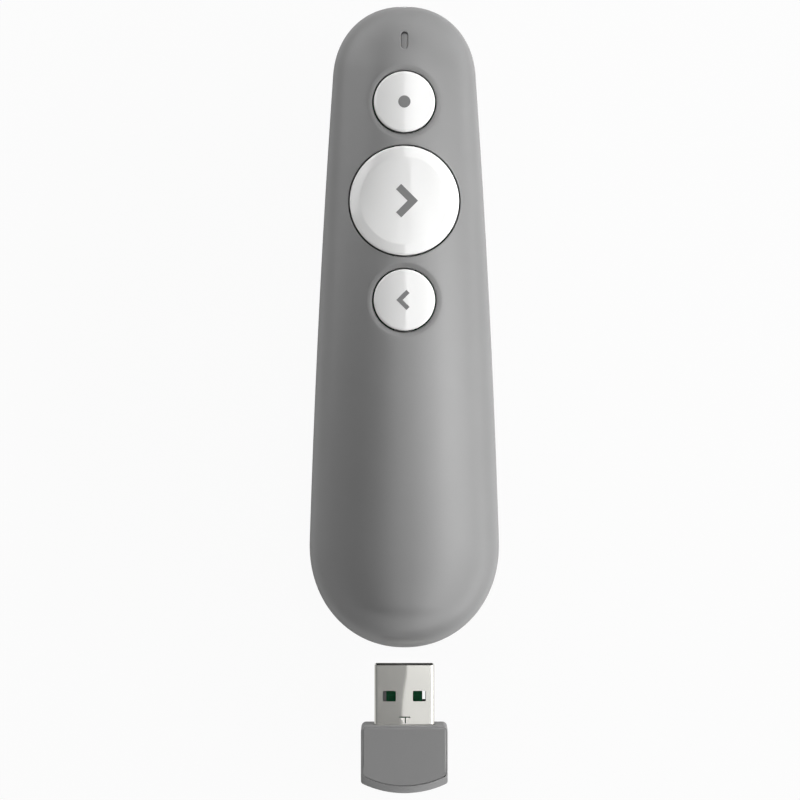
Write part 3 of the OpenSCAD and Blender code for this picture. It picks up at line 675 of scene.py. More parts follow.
class CLICKER_OT_door(bpy.types.Operator):
    """Makes the battery door with its tabs, latch and grip"""
    bl_idname = "clicker.door"
    bl_label = "Battery door"

    def execute(self, context):
        form = Form(context.scene.clicker_sizes)
        y0, y1 = door_span(form)
        mid, half = (y0 + y1) / 2, form.opening_w / 2 - form.door_gap
        length = y1 - y0 - 2 * form.door_gap
        edge = 0.2
        rings = [(edge * (1 - math.sin(a)), edge * (1 - math.cos(a))) for a in QUARTER]
        rings += [(0.05 * (1 - math.cos(a)), form.door_t - 0.05 * (1 - math.sin(a))) for a in QUARTER]
        plate = Shape().tube(
            [[(x, mid + y, z) for x, y in round_rect(2 * (half - d), length - 2 * d, 0.8 - d, 8, 8, 24)]
             for d, z in rings], start=True, end=True)
        grooves = []
        for k in range(4):
            y = y0 + 3.75 + 1.5 * k
            grooves.append(Shape().tube(
                [[(x, y + b, z) for x, b in round_rect(8 + 2 * d, 0.7 + 2 * d, 0.34 + d, 6, 2, 1)]
                 for d, z in ((0.16, -0.12), (0.08, 0.04), (0.02, 0.1), (0, 0.3))], start=True, end=True))
        mesh = cut(plate.mesh("door"), grooves)
        tab_in, tab_w, reach = 3.6, 2.4, 1.6
        tab_z = form.wall + 0.1
        parts = []
        for s in (-1, 1):
            x0, x1 = sorted((s * tab_in, s * (tab_in + tab_w)))
            parts.append(soft_box((x0, y1 - 1.4, form.door_t - 0.3), (x1, y1 - form.door_gap, tab_z + 1)))
            parts.append(soft_box((x0, y1 - 0.7, tab_z), (x1, y1 + reach, tab_z + 1), 0.2))
        parts.append(soft_box((-2.5, y0 - 0.6, 0.15), (2.5, y0 + 1, form.door_t * 0.6 - 0.1), 0.12))
        piece("battery_door_panel", joined(mesh, parts), [satin_abs()], "door", ["battery_door"])
        return {"FINISHED"}


# ---- buttons ----

def dish_sink(q, dish_r, dish):
    """Depth of the dish at radius q: a shallow bowl with a slightly rounded rim."""
    if dish_r <= 0:
        return 0.0
    bowl, soft = dish * (1 - (q / dish_r) ** 2), 0.025
    return (bowl + math.hypot(bowl, soft)) / 2


def button_top(form, y, q, a, dish_r, dish, lift=0.0):
    px, py = q * math.cos(a), y + q * math.sin(a)
    return (px, py, form.skin_z(px, py) + form.button_proud - dish_sink(q, dish_r, dish) + lift)


def button_mesh(form, y, d, dish_r=0.0, dish=0.0):
    """Button cap whose top follows the back of the housing, with its two lugs."""
    r, edge = d / 2, 0.3
    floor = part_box("laser_plunger")[1].z / MM
    turns = [2 * math.pi * k / TURNS for k in range(TURNS)]
    flat = r - edge
    radii = [flat * k / 28 for k in range(1, 29)]
    if dish_r:
        radii = sorted({q for q in radii if abs(q - dish_r) > 0.5}
                       | {dish_r + 0.05 * k for k in range(-10, 10)})
    shape = Shape()
    tip = shape.row([button_top(form, y, 0, 0, dish_r, dish)])[0]
    rows, kinds = [], []
    for q in radii:
        rows.append(shape.row([button_top(form, y, q, a, dish_r, dish) for a in turns]))
        kinds.append(1 if dish_r and q <= dish_r + 0.01 else 0)
    for b in QUARTER[1:]:
        drop = edge * (1 - math.cos(b))
        rows.append(shape.row([button_top(form, y, flat + edge * math.sin(b), a, dish_r, dish, -drop)
                               for a in turns]))
        kinds.append(0)
    rows.append(shape.row([(r * math.cos(a), y + r * math.sin(a), floor) for a in turns]))
    kinds.append(0)
    for k in range(TURNS):
        shape.face([tip, rows[0][k], rows[0][(k + 1) % TURNS]], kinds[0])
    for low, high, kind in zip(rows, rows[1:], kinds[1:]):
        shape.bridge(low, high, finish=kind)
    shape.face(rows[-1])
    lugs = []
    for s in (-1, 1):
        a, b, c = (y + s * (r - 1.4), y + s * (r - 0.2), y + s * (r + 0.9))
        lugs.append(soft_box((-2, min(a, b), floor - 1.1), (2, max(a, b), floor + 0.2), 0.1))
        lugs.append(soft_box((-2, min(a, c), floor - 1.1), (2, max(a, c), floor - 0.5), 0.1))
    return joined(shape.mesh("button"), lugs)


class CLICKER_OT_buttons(bpy.types.Operator):
    """Makes the three button caps"""
    bl_idname = "clicker.buttons"
    bl_label = "Buttons"

    def execute(self, context):
        form = Form(context.scene.clicker_sizes)
        gloss, etched = gloss_abs(), etched_abs()
        for name, y in (("laser", form.laser_y), ("back", form.back_y)):
            piece(f"{name}_button_cap", button_mesh(form, y, form.small_d), [gloss],
                  f"{name}_key", [f"{name}_button"], 45)
        piece("next_button_cap",
              button_mesh(form, form.next_y, form.big_d, form.dish_d / 2, form.dish_depth),
              [gloss, etched], "next_key", ["next_button"], 45)
        return {"FINISHED"}


def chevron(high, stroke, tip, way):
    """Right-angled arrow with square ends; way is 1 to the right and -1 to the left."""
    back = stroke / math.sqrt(2)
    half = [(0, 0), (-high / 2, high / 2), (-high / 2 - back, high / 2 - back), (-2 * back, 0)]
    points = half + [(x, -y) for x, y in half[2:0:-1]]
    return [(tip + way * x, y) for x, y in points[::way]]


class CLICKER_OT_signs(bpy.types.Operator):
    """Prints the dot and the two arrows on the buttons"""
    bl_idname = "clicker.signs"
    bl_label = "Signs"

    def execute(self, context):
        form = Form(context.scene.clicker_sizes)
        ink = pad_ink()
        signs = (
            ("laser", form.laser_y, 0.0, 0.0, circle(1.2, 48)),
            ("next", form.next_y, form.dish_d / 2, form.dish_depth, chevron(6.6, 1.45, 2.68, 1)),
            ("back", form.back_y, 0.0, 0.0, chevron(3.95, 0.87, -1.57, -1)),
        )
        for name, y, dish_r, dish, outline in signs:
            film = Shape()
            turns = [2 * math.pi * k / 48 for k in range(48)]
            radii = [0.3 * k for k in range(1, 15)]
            rings = []
            for lift, order in ((0.015, radii), (-0.1, radii[::-1])):
                rings += [[button_top(form, y, q, a, dish_r, dish, lift) for a in turns] for q in order]
            rows = [film.row(ring) for ring in rings]
            for low, high in zip(rows, rows[1:]):
                film.bridge(low, high)
            for row, lift in ((rows[0], 0.015), (rows[-1], -0.1)):
                tip = film.row([button_top(form, y, 0, 0, dish_r, dish, lift)])[0]
                for k in range(48):
                    film.face([tip, row[k], row[(k + 1) % 48]])
            stamp = Shape().tube([[(px, y + py, z) for px, py in outline] for z in (0, 30)],
                                 start=True, end=True)
            mesh = cut(film.mesh("film"), [stamp], "INTERSECT")
            piece(f"{name}_sign", mesh, [ink], f"{name}_key")
        return {"FINISHED"}


# ---- light and laser ----

class CLICKER_OT_windows(bpy.types.Operator):
    """Makes the light guide in the slot and the laser window in the nose"""
    bl_idname = "clicker.windows"
    bl_label = "Light guide and laser window"

    def execute(self, context):
        form = Form(context.scene.clicker_sizes)
        lo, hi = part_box("light_pipe")
        foot = lo.z / MM
        r, half = form.slot_w / 2 - 0.02, (form.slot_len - form.slot_w) / 2
        guide = Opening(form.slot_y, r, half, turns=48)
        rings = [upright(guide.outline(0), foot)]
        for a in QUARTER:
            inset = 0.12 * (1 - math.cos(a))
            rings.append([(x, y, form.skin_z(x, y) - 0.45 - 0.12 * (1 - math.sin(a)))
                          for x, y in guide.outline(-inset)])
        rings.append([(x * 0.3, y, form.skin_z(x * 0.3, y) - 0.44)
                      for x, y in guide.outline(-0.12)])
        pipe = Shape().tube(rings, start=True, end=True).mesh("pipe")
        arm = soft_box((-r, lo.y / MM, foot), (r, form.slot_y, foot + 0.4), 0.1)
        piece("light_guide", joined(pipe, [arm]), [light_guide()], "housing",
              ["light_pipe"])

        lo, hi = (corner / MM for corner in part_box("window_bezel"))
        r, y0, y1, lip = (hi.x - lo.x) / 2, lo.y, hi.y, 0.12
        flange = form.window_d / 2 + 0.4
        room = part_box("laser_lens")[1].y / MM + 0.1
        profile = [(2.15, y0), (r, y0)]
        profile += [(r - lip * (1 - math.cos(a)), y1 - lip * (1 - math.sin(a))) for a in QUARTER]
        profile += [(flange + 0.05, y1), (flange + 0.05, room), (2.15, room)]
        piece("window_ring", lathe(profile, 96, z=form.part_z, along="Y").mesh("ring"), [black_abs()],
              "housing", ["window_bezel"])
        lo, hi = (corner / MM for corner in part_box("laser_window"))
        boss, bevel = form.window_d / 2 - 0.05, 0.08
        profile = [(0, lo.y), (flange - bevel, lo.y), (flange, lo.y + bevel), (flange, y1), (boss, y1),
                   (boss, hi.y - bevel), (boss - bevel, hi.y), (0, hi.y)]
        piece("window_pane", lathe(profile, 96, z=form.part_z, along="Y", loop=False).mesh("pane"),
              [clear_acrylic()], "housing", ["laser_window"])
        return {"FINISHED"}


# ---- receiver ----

def cap_outline(form, side, end, corner=1.0, arc=8):
    """Plan of the receiver cap: side is the inset of its sides, end that of its curved end."""
    x = form.cap_w / 2 - side
    y1 = form.cap_y1 - side
    end_r, soft = 19.6 - end, 0.7
    centre = form.cap_y0 + 19.6
    r = max(corner - side, 0.05)
    half = [(x - r + r * math.sin(a), y1 - r + r * math.cos(a))
            for a in (math.pi / 2 * k / arc for k in range(arc + 1))]
    fillet_y = centre - math.sqrt((end_r - soft) ** 2 - (x - soft) ** 2)
    sweep = math.acos((x - soft) / (end_r - soft))
    top = half[-1][1]
    half += [(x, top + (fillet_y - top) * k / 6) for k in range(1, 6)]
    half += [(x - soft + soft * math.cos(a), fillet_y - soft * math.sin(a))
             for a in (sweep * k / arc for k in range(arc + 1))]
    low = math.pi / 2 - sweep
    half += [(end_r * math.sin(a), centre - end_r * math.cos(a))
             for a in (low * (1 - k / 16) for k in range(1, 17))]
    return half + [(-px, py) for px, py in half[-2::-1]]


def cap_mesh(form):
    """Receiver cap: rounded in plan, with a curved end that is bevelled above and below."""
    half, bevel, drop, low_bevel, edge = form.cap_t / 2, 1.5, 0.6, 2.2, 0.22
    groove = 0.13

    def end_at(z):
        """Inset of the end at a height over the middle."""
        if z > half - drop:
            return 0.1 + (bevel - 0.1) * (z - half + drop) / drop
        if z < low_bevel - half:
            return 0.1 + (low_bevel - 0.1) * (low_bevel - half - z) / low_bevel
        return 0.1 * abs(z) / half

    rings = []
    heights = [-half + edge * (1 - math.sin(a)) for a in QUARTER[::-1]]
    heights += [low_bevel - half - 0.15, low_bevel - half + 0.15, 0.0, half - drop - 0.06, half - drop + 0.06]
    heights += [half - edge * (1 - math.sin(a)) for a in QUARTER]
    insets = [edge * (1 - math.cos(a)) for a in QUARTER[::-1]] + [0.0] * 5
    insets += [edge * (1 - math.cos(a)) for a in QUARTER]
    rings.append([(x, y, form.dock_z - half) for x, y in cap_outline(form, edge + 0.2, low_bevel + 0.2)])
    for z, side in zip(heights, insets):
        rings.append([(x, y, form.dock_z + z) for x, y in cap_outline(form, side, end_at(z))])
    for side, end, depth in ((edge + 0.02, bevel + 0.03, 0.0), (edge + 0.1, bevel + 0.12, groove),
                             (edge + 0.18, bevel + 0.24, 0.0), (edge + 0.4, bevel + 0.5, 0.0)):
        rings.append([(x, y, form.dock_z + half - depth * (0.5 + 0.5 * smooth((form.cap_y0 + 5 - y) / 2)))
                      for x, y in cap_outline(form, side, end)])
    mesh = Shape().tube(rings, start=True, end=True).mesh("cap")
    socket = Shape().tube([[(x, y, form.dock_z + r) for x, r in round_rect(
        form.plug_w + 0.1, form.plug_t + 0.1, 0.6, 6, 4, 2)]
        for y in (form.cap_y1 - 3.2, form.cap_y1 + 1)], start=True, end=True)
    return cut(mesh, [socket])


def plug_mesh(form):
    """Folded sheet shell of the plug, with its two windows and the slits at its root."""
    root = form.cap_y1 - 3
    arc, along, up = 6, 30, 4
    steps = 30

    def bend(x, y):
        """The sheet's top is bent very slightly about a wavy line."""
        t = (y - form.cap_y1) / form.plug_len
        line = -0.45 + 1.0 * smooth(t * 1.3 - 0.3)
        return 0.022 * (math.hypot(x - line, 0.3) - 0.3)

    def ring(y, inset, top):
        w, t = form.plug_w - 2 * inset, form.plug_t - 2 * inset
        points = []
        for x, r in round_rect(w, t, 0.5 - inset, arc, along, up):
            drop = bend(x, y) * max(0.0, r / (t / 2)) ** 4 if top else 0.0
            points.append((x, y, form.dock_z + r - drop))
        return points

    lip = 0.06
    rings = [ring(root + (form.plug_y1 - lip - root) * k / steps, 0, True) for k in range(steps + 1)]
    rings += [ring(form.plug_y1, lip, True), ring(form.plug_y1, form.sheet - lip, False)]
    rings += [ring(form.plug_y1 - lip, form.sheet, False), ring(root, form.sheet, False)]
    shape = Shape().tube(rings, loop=True)
    cutters = []
    for x in (-3.0, 3.0):
        y = form.plug_y1 - 6.2
        cutters.append(Shape().tube(
            [[(x + a, y + b, z) for a, b in round_rect(2.6, 2.1, 0.25, 5)] for z in (0, 20)],
            start=True, end=True))
    slit_y = form.cap_y1 + 1.6
    high = form.dock_z + form.plug_t
    low = form.dock_z + 1
    for lo, hi in (((-1.0, slit_y - 0.12, low), (1.2, slit_y + 0.12, high)),
                   ((0.1, slit_y - 1.25, low), (0.32, slit_y, high))):
        cutters.append(Shape().tube([[(x, y, z) for x, y in (
            (lo[0], lo[1]), (hi[0], lo[1]), (hi[0], hi[1]), (lo[0], hi[1]))] for z in (lo[2], hi[2])],
            start=True, end=True))
    top = form.dock_z + form.plug_t / 2
    flap = [(-0.95, slit_y, top - 0.02), (1.15, slit_y, top - 0.13), (0.1, slit_y - 1.3, top - 0.06)]
    cutters.append(Shape().tube([flap, [(x, y, top + 1) for x, y, _ in flap]], start=True, end=True))
    return cut(shape.mesh("plug"), cutters)


def insulator_mesh():
    """Frame round the receiver's board: it touches the board on the left, where its dark nylon fills the edge
    of the left window as painted shade, and is open on the right.
    """
    lo, hi = (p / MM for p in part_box("plug_insulator"))
    board_lo, board_hi = (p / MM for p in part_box("receiver_board"))
    # Painted shade: the left side runs up to the board, so dark nylon stands where the left window shows only
    # shade
    left = soft_box(lo, (board_lo.x, hi.y, hi.z), 0.05)
    right = soft_box((board_hi.x + 0.6, lo.y, lo.z), hi, 0.05)
    front = soft_box((lo.x + 0.3, hi.y - 0.3, lo.z), (hi.x - 0.3, hi.y, hi.z - 0.02), 0.05)
    return joined(left.mesh("insulator"), [right, front])


class CLICKER_OT_receiver(bpy.types.Operator):
    """Makes the receiver's cap and plug"""
    bl_idname = "clicker.receiver"
    bl_label = "Receiver"

    def execute(self, context):
        form = Form(context.scene.clicker_sizes)
        piece("receiver_cap_skin", cap_mesh(form), [satin_abs()], "receiver",
              ["receiver_cap"], 40)
        piece("plug_sheet", plug_mesh(form), [nickel_sheet()], "receiver", ["plug_shell"], 40)
        piece("plug_insulator_frame", insulator_mesh(), [filled_nylon()], "receiver",
              ["plug_insulator"], 40)
        return {"FINISHED"}


# ---- finishes ----

def add(tree, kind, inputs=None, **settings):
    """Adds a node with its settings, and sets or links its inputs."""
    made = tree.nodes.new(kind)
    for key, value in settings.items():
        setattr(made, key, value)
    for key, value in (inputs or {}).items():
        if isinstance(value, bpy.types.NodeSocket):
            tree.links.new(value, made.inputs[key])
        else:
            made.inputs[key].default_value = value
    return made


def scale_of(mm):
    """Texture scale at which one cell is this many millimetres."""
    return 1 / (mm * MM)


def start(name):
    """A new material with its shader, its output and the object's coordinates."""
    made = bpy.data.materials.new(name)
    made.use_nodes = True
    tree = made.node_tree
    tree.nodes.clear()
    shader = add(tree, "ShaderNodeBsdfPrincipled")
    add(tree, "ShaderNodeOutputMaterial", {"Surface": shader.outputs["BSDF"]})
    place = add(tree, "ShaderNodeTexCoord")
    return made, tree, shader, place.outputs["Object"]


def grain(tree, place, mm, detail=2.0, kind="ShaderNodeTexNoise"):
    """Even noise with one cell in so many millimetres."""
    inputs = {"Vector": place, "Scale": scale_of(mm)}
    if kind == "ShaderNodeTexNoise":
        inputs["Detail"] = detail
    return add(tree, kind, inputs)


def bump(tree, height, mm, strength):
    """Bump of that depth from a height between 0 and 1."""
    return add(tree, "ShaderNodeBump", {"Height": height, "Distance": mm * MM, "Strength": strength})


def spread(tree, value, low, high):
    """Maps a value that lies about 0.3 to 0.7 to a range."""
    return add(tree, "ShaderNodeMapRange", {
        "Value": value, "From Min": 0.3, "From Max": 0.7, "To Min": low, "To Max": high}).outputs["Result"]


def colour_mix(tree, factor, a, b):
    """Mixes two colours and returns the colour."""
    made = add(tree, "ShaderNodeMix", data_type="RGBA")
    for socket, value in ((made.inputs[0], factor), (made.inputs[6], a), (made.inputs[7], b)):
        if isinstance(value, bpy.types.NodeSocket):
            tree.links.new(value, socket)
        else:
            socket.default_value = value
    return made.outputs[2]


def shaded(base, amount):
    return tuple(min(1.0, max(0.0, c * (1 + amount))) for c in base[:3]) + (1.0,)


def cached(build):
    """Builds a material once."""
    def get():
        name = build.__name__
        return bpy.data.materials.get(name) or build(name)
    return get


def colours():
    return bpy.context.scene.clicker_colours


@cached
def satin_abs(name):
    """ABS moulded against a spark-eroded tool: an even, fine satin grain with a soft sheen."""
    made, tree, shader, place = start(name)
    base = tuple(colours().housing)
    fine = grain(tree, place, 0.35)            # the real grain is 0.05 mm, drawn coarser to show
    cloud = grain(tree, place, 9.0)
    shade = spread(tree, cloud.outputs["Fac"], 0.0, 1.0)
    tree.links.new(colour_mix(tree, shade, shaded(base, -0.015), shaded(base, 0.015)),
                   shader.inputs["Base Color"])
    # The grain hides itself at a glancing angle, where the sheen is wide and weak
    glance = add(tree, "ShaderNodeLayerWeight", {"Blend": 0.5})
    dull = add(tree, "ShaderNodeMapRange", {
        "Value": glance.outputs["Facing"], "From Min": 0.5, "From Max": 0.95, "To Min": 0.0, "To Max": 0.5})
    rough = add(tree, "ShaderNodeMath", {
        0: spread(tree, fine.outputs["Fac"], 0.3, 0.38), 1: dull.outputs["Result"]}, operation="ADD")
    tree.links.new(rough.outputs["Value"], shader.inputs["Roughness"])
    tree.links.new(bump(tree, fine.outputs["Fac"], 0.012, 0.5).outputs["Normal"], shader.inputs["Normal"])
    shader.distribution = "GGX"
    shader.inputs["IOR"].default_value = 1.54
    return made


@cached
def painted_shade_abs(name):
    """The same ABS moulded against a blasted tool, which makes it duller; its colour is darkened as painted
    shade, a darker ring round the small buttons where the hollows fall into shade.
    """
    made, tree, shader, place = start(name)
    base = tuple(colours().housing)
    fine = grain(tree, place, 0.35)
    # Painted shade: the housing colour darkened by 9 to 13 percent for the hollows
    tree.links.new(colour_mix(tree, fine.outputs["Fac"], shaded(base, -0.13), shaded(base, -0.09)),
                   shader.inputs["Base Color"])
    tree.links.new(spread(tree, fine.outputs["Fac"], 0.4, 0.48), shader.inputs["Roughness"])
    tree.links.new(bump(tree, fine.outputs["Fac"], 0.012, 0.5).outputs["Normal"], shader.inputs["Normal"])
    shader.inputs["Specular IOR Level"].default_value = 0.08
    return made


@cached
def gloss_abs(name):
    """ABS moulded against a polished tool: a clear reflection with a trace of moulding waviness."""
    made, tree, shader, place = start(name)
    base = tuple(colours().button)
    wave = grain(tree, place, 4.0, 0.0)
    tree.links.new(colour_mix(tree, wave.outputs["Fac"], shaded(base, -0.01), base),
                   shader.inputs["Base Color"])
    tree.links.new(spread(tree, wave.outputs["Fac"], 0.05, 0.08), shader.inputs["Roughness"])
    tree.links.new(bump(tree, wave.outputs["Fac"], 0.002, 0.5).outputs["Normal"], shader.inputs["Normal"])
    shader.inputs["IOR"].default_value = 1.54
    return made


@cached
def etched_abs(name):
    """White ABS moulded against an etched tool: the matt floor of the dish."""
    made, tree, shader, place = start(name)
    base = tuple(colours().button)
    fine = grain(tree, place, 0.3)             # the real etching is 0.03 mm, drawn coarser to show
    tree.links.new(colour_mix(tree, fine.outputs["Fac"], shaded(base, -0.02), base),
                   shader.inputs["Base Color"])
    tree.links.new(spread(tree, fine.outputs["Fac"], 0.28, 0.34), shader.inputs["Roughness"])
    tree.links.new(bump(tree, fine.outputs["Fac"], 0.004, 0.4).outputs["Normal"], shader.inputs["Normal"])
    shader.inputs["IOR"].default_value = 1.54
    return made


@cached
def pad_ink(name):
    """Pad-printed ink: flat and dull, a little uneven where it was laid."""
    made, tree, shader, place = start(name)
    base = tuple(colours().sign)
    fine = grain(tree, place, 0.4)
    tree.links.new(colour_mix(tree, fine.outputs["Fac"], shaded(base, -0.03), shaded(base, 0.03)),
                   shader.inputs["Base Color"])
    tree.links.new(spread(tree, fine.outputs["Fac"], 0.55, 0.65), shader.inputs["Roughness"])
    shader.inputs["Specular IOR Level"].default_value = 0.2
    return made


@cached
def black_abs(name):
    """Black moulded ABS: a dull, fine grain."""
    made, tree, shader, place = start(name)
    base = linear("#1E1E1F")
    fine = grain(tree, place, 0.4)
    tree.links.new(colour_mix(tree, fine.outputs["Fac"], shaded(base, -0.1), shaded(base, 0.1)),
                   shader.inputs["Base Color"])
    tree.links.new(spread(tree, fine.outputs["Fac"], 0.4, 0.5), shader.inputs["Roughness"])
    tree.links.new(bump(tree, fine.outputs["Fac"], 0.01, 0.5).outputs["Normal"], shader.inputs["Normal"])
    return made


@cached
def filled_nylon(name):
    """Glass-filled nylon of the plug's insulator: dull dark grey with a coarse grain."""
    made, tree, shader, place = start(name)
    base = linear("#4A4A4B")
    coarse = grain(tree, place, 0.5)
    tree.links.new(colour_mix(tree, coarse.outputs["Fac"], shaded(base, -0.12), shaded(base, 0.12)),
                   shader.inputs["Base Color"])
    tree.links.new(spread(tree, coarse.outputs["Fac"], 0.55, 0.7), shader.inputs["Roughness"])
    tree.links.new(bump(tree, coarse.outputs["Fac"], 0.01, 0.5).outputs["Normal"],
                   shader.inputs["Normal"])
    shader.inputs["Specular IOR Level"].default_value = 0.2
    return made


@cached
def nickel_sheet(name):
    """Nickel-plated folded sheet: a soft mirror with faint rolling lines along the plug."""
    made, tree, shader, place = start(name)
    base = tuple(colours().steel)
    stretched = add(tree, "ShaderNodeMapping", {"Vector": place, "Scale": (1.0, 0.06, 1.0)})
    lines = grain(tree, stretched.outputs["Vector"], 0.25)   # rolling lines, 0.25 mm apart
    cloud = grain(tree, place, 5.0)
    tree.links.new(colour_mix(tree, cloud.outputs["Fac"], shaded(base, -0.02), shaded(base, 0.02)),
                   shader.inputs["Base Color"])
    tree.links.new(spread(tree, lines.outputs["Fac"], 0.1, 0.14), shader.inputs["Roughness"])
    tree.links.new(bump(tree, lines.outputs["Fac"], 0.0006, 0.5).outputs["Normal"],
                   shader.inputs["Normal"])
    shader.inputs["Metallic"].default_value = 1.0
    return made


@cached
def spring_steel(name):
    """Nickel-plated spring steel: bright, with a fine drawn grain."""
    made, tree, shader, place = start(name)
    base = linear("#BDBBB4")
    fine = grain(tree, place, 0.3)
    tree.links.new(colour_mix(tree, fine.outputs["Fac"], shaded(base, -0.05), shaded(base, 0.05)),
                   shader.inputs["Base Color"])
    tree.links.new(spread(tree, fine.outputs["Fac"], 0.22, 0.34), shader.inputs["Roughness"])
    shader.inputs["Metallic"].default_value = 1.0
    return made


@cached
def turned_brass(name):
    """Turned brass: fine rings from the lathe tool."""
    made, tree, shader, place = start(name)
    rings = add(tree, "ShaderNodeTexWave", {"Vector": place, "Scale": scale_of(0.25) / 20, "Distortion": 0.4},
                bands_direction="Y")
    base = linear("#C3A257")
    tree.links.new(colour_mix(tree, rings.outputs["Fac"], shaded(base, -0.06), shaded(base, 0.04)),
                   shader.inputs["Base Color"])
    tree.links.new(spread(tree, rings.outputs["Fac"], 0.22, 0.32), shader.inputs["Roughness"])
    shader.inputs["Metallic"].default_value = 1.0
    return made


@cached
def gold_flash(name):
    """Thin gold plate over nickel: bright and slightly cloudy."""
    made, tree, shader, place = start(name)
    base = linear("#D9B35B")
    cloud = grain(tree, place, 0.8)
    tree.links.new(colour_mix(tree, cloud.outputs["Fac"], shaded(base, -0.06), shaded(base, 0.06)),
                   shader.inputs["Base Color"])
    tree.links.new(spread(tree, cloud.outputs["Fac"], 0.2, 0.3), shader.inputs["Roughness"])
    shader.inputs["Metallic"].default_value = 1.0
    return made


@cached
def solder_mask(name):
    """Green solder mask on glass laminate: silky, with the weave and the tracks just showing."""
    made, tree, shader, place = start(name)
    base = tuple(colours().board)
    tracks = add(tree, "ShaderNodeTexBrick", {
        "Vector": place, "Scale": scale_of(1.6) / 4, "Mortar Size": 0.012,
        "Color1": base, "Color2": shaded(base, -0.15), "Mortar": shaded(base, 0.4)})
    weave = grain(tree, place, 0.5)
    tree.links.new(tracks.outputs["Color"], shader.inputs["Base Color"])
    tree.links.new(spread(tree, weave.outputs["Fac"], 0.4, 0.5), shader.inputs["Roughness"])
    tree.links.new(bump(tree, weave.outputs["Fac"], 0.01, 0.3).outputs["Normal"], shader.inputs["Normal"])
    shader.inputs["Specular IOR Level"].default_value = 0.06
    return made


@cached
def moulded_epoxy(name):
    """Filled black epoxy of chip packages: dull, with a sandy grain."""
    made, tree, shader, place = start(name)
    base = linear("#232325")
    fine = grain(tree, place, 0.12)
    tree.links.new(colour_mix(tree, fine.outputs["Fac"], shaded(base, -0.2), shaded(base, 0.2)),
                   shader.inputs["Base Color"])
    tree.links.new(spread(tree, fine.outputs["Fac"], 0.5, 0.65), shader.inputs["Roughness"])
    return made


@cached
def shrink_sleeve(name):
    """Plain printed shrink sleeve of a dry cell: glossy film, dark with a pale band at one end."""
    made, tree, shader, place = start(name)
    lo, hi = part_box("battery_cell")
    axes = add(tree, "ShaderNodeSeparateXYZ", {"Vector": place})
    edge = hi.y - 0.3 * (hi.y - lo.y)
    band = add(tree, "ShaderNodeMapRange", {"Value": axes.outputs["Y"], "From Min": edge - 0.0001,
                                           "From Max": edge + 0.0001})
    cloud = grain(tree, place, 2.5)
    tree.links.new(colour_mix(tree, band.outputs["Result"], linear("#3C4044"), linear("#A9ABAC")),
                   shader.inputs["Base Color"])
    tree.links.new(spread(tree, cloud.outputs["Fac"], 0.18, 0.26), shader.inputs["Roughness"])
    tree.links.new(bump(tree, cloud.outputs["Fac"], 0.02, 0.3).outputs["Normal"], shader.inputs["Normal"])
    return made


@cached
def light_guide(name):
    """Smoked polycarbonate: smooth, dark and slightly see-through."""
    made, tree, shader, place = start(name)
    base = tuple(colours().light_guide)
    cloud = grain(tree, place, 1.0)
    tree.links.new(colour_mix(tree, cloud.outputs["Fac"], shaded(base, -0.04), shaded(base, 0.04)),
                   shader.inputs["Base Color"])
    tree.links.new(spread(tree, cloud.outputs["Fac"], 0.3, 0.36), shader.inputs["Roughness"])
    shader.inputs["Transmission Weight"].default_value = 0.15
    shader.inputs["IOR"].default_value = 1.58
    return made


@cached
def clear_acrylic(name):
    """Polished acrylic: clear, with the faintest moulding waviness."""
    made, tree, shader, place = start(name)
    cloud = grain(tree, place, 1.2)
    tree.links.new(spread(tree, cloud.outputs["Fac"], 0.02, 0.05), shader.inputs["Roughness"])
    shader.inputs["Base Color"].default_value = linear("#F2F6F7")
    shader.inputs["Transmission Weight"].default_value = 1.0
    shader.inputs["IOR"].default_value = 1.49
    return made


class CLICKER_OT_insides(bpy.types.Operator):
    """Gives the carried-over solids their finishes"""
    bl_idname = "clicker.insides"
    bl_label = "Finishes of the inner parts"

    def execute(self, context):
        finishes = {
            black_abs: ["inner_frame", "laser_plunger", "next_plunger", "back_plunger"],
            spring_steel: ["laser_switch", "next_switch", "back_switch", "laser_leads",
                           "battery_terminal", "negative_spring", "positive_contact", "case_screws"],
            solder_mask: ["main_board", "receiver_board"],
            moulded_epoxy: ["radio_chip", "crystal", "chip_antenna", "passives"],
            clear_acrylic: ["status_led", "laser_lens"],
            turned_brass: ["laser_barrel"],
            gold_flash: ["laser_diode", "contact_fingers"],
            shrink_sleeve: ["battery_cell"],
        }
        for finish, names in finishes.items():
            for name in names:
                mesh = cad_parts[name].data
                mesh.materials.clear()
                mesh.materials.append(finish())
        return {"FINISHED"}


# ---- studio ----

def is_seen(tree):
    """1 for camera, glossy and transmission rays."""
    path = add(tree, "ShaderNodeLightPath")
    total = path.outputs["Is Camera Ray"]
    for other in ("Is Glossy Ray", "Is Transmission Ray"):
        total = add(tree, "ShaderNodeMath", {0: total, 1: path.outputs[other]},
                    operation="MAXIMUM").outputs["Value"]
    return total


def plane(name, corners):
    mesh = bpy.data.meshes.new(name)
    mesh.from_pydata(corners, [], [(0, 1, 2, 3)])
    made = bpy.data.objects.new(name, mesh)
    bpy.context.scene.collection.objects.link(made)
    return made


def card(name, low, high, stops, shine):
    """Level card that shows in gloss and lights nothing; each stop is its x and its strength there."""
    mesh = bpy.data.meshes.new(name)
    mesh.from_pydata([(x, y, CARD_Z) for x, _ in stops for y in (low, high)], [],
                     [(i, i + 2, i + 3, i + 1) for i in range(0, 2 * len(stops) - 2, 2)])
    glow = mesh.attributes.new("glow", "FLOAT", "POINT")
    glow.data.foreach_set("value", [strength for _, strength in stops for _ in range(2)])
    mesh.materials.append(shine)
    made = bpy.data.objects.new(name, mesh)
    bpy.context.scene.collection.objects.link(made)
    for ray in ("camera", "diffuse", "shadow", "transmission"):
        setattr(made, f"visible_{ray}", False)


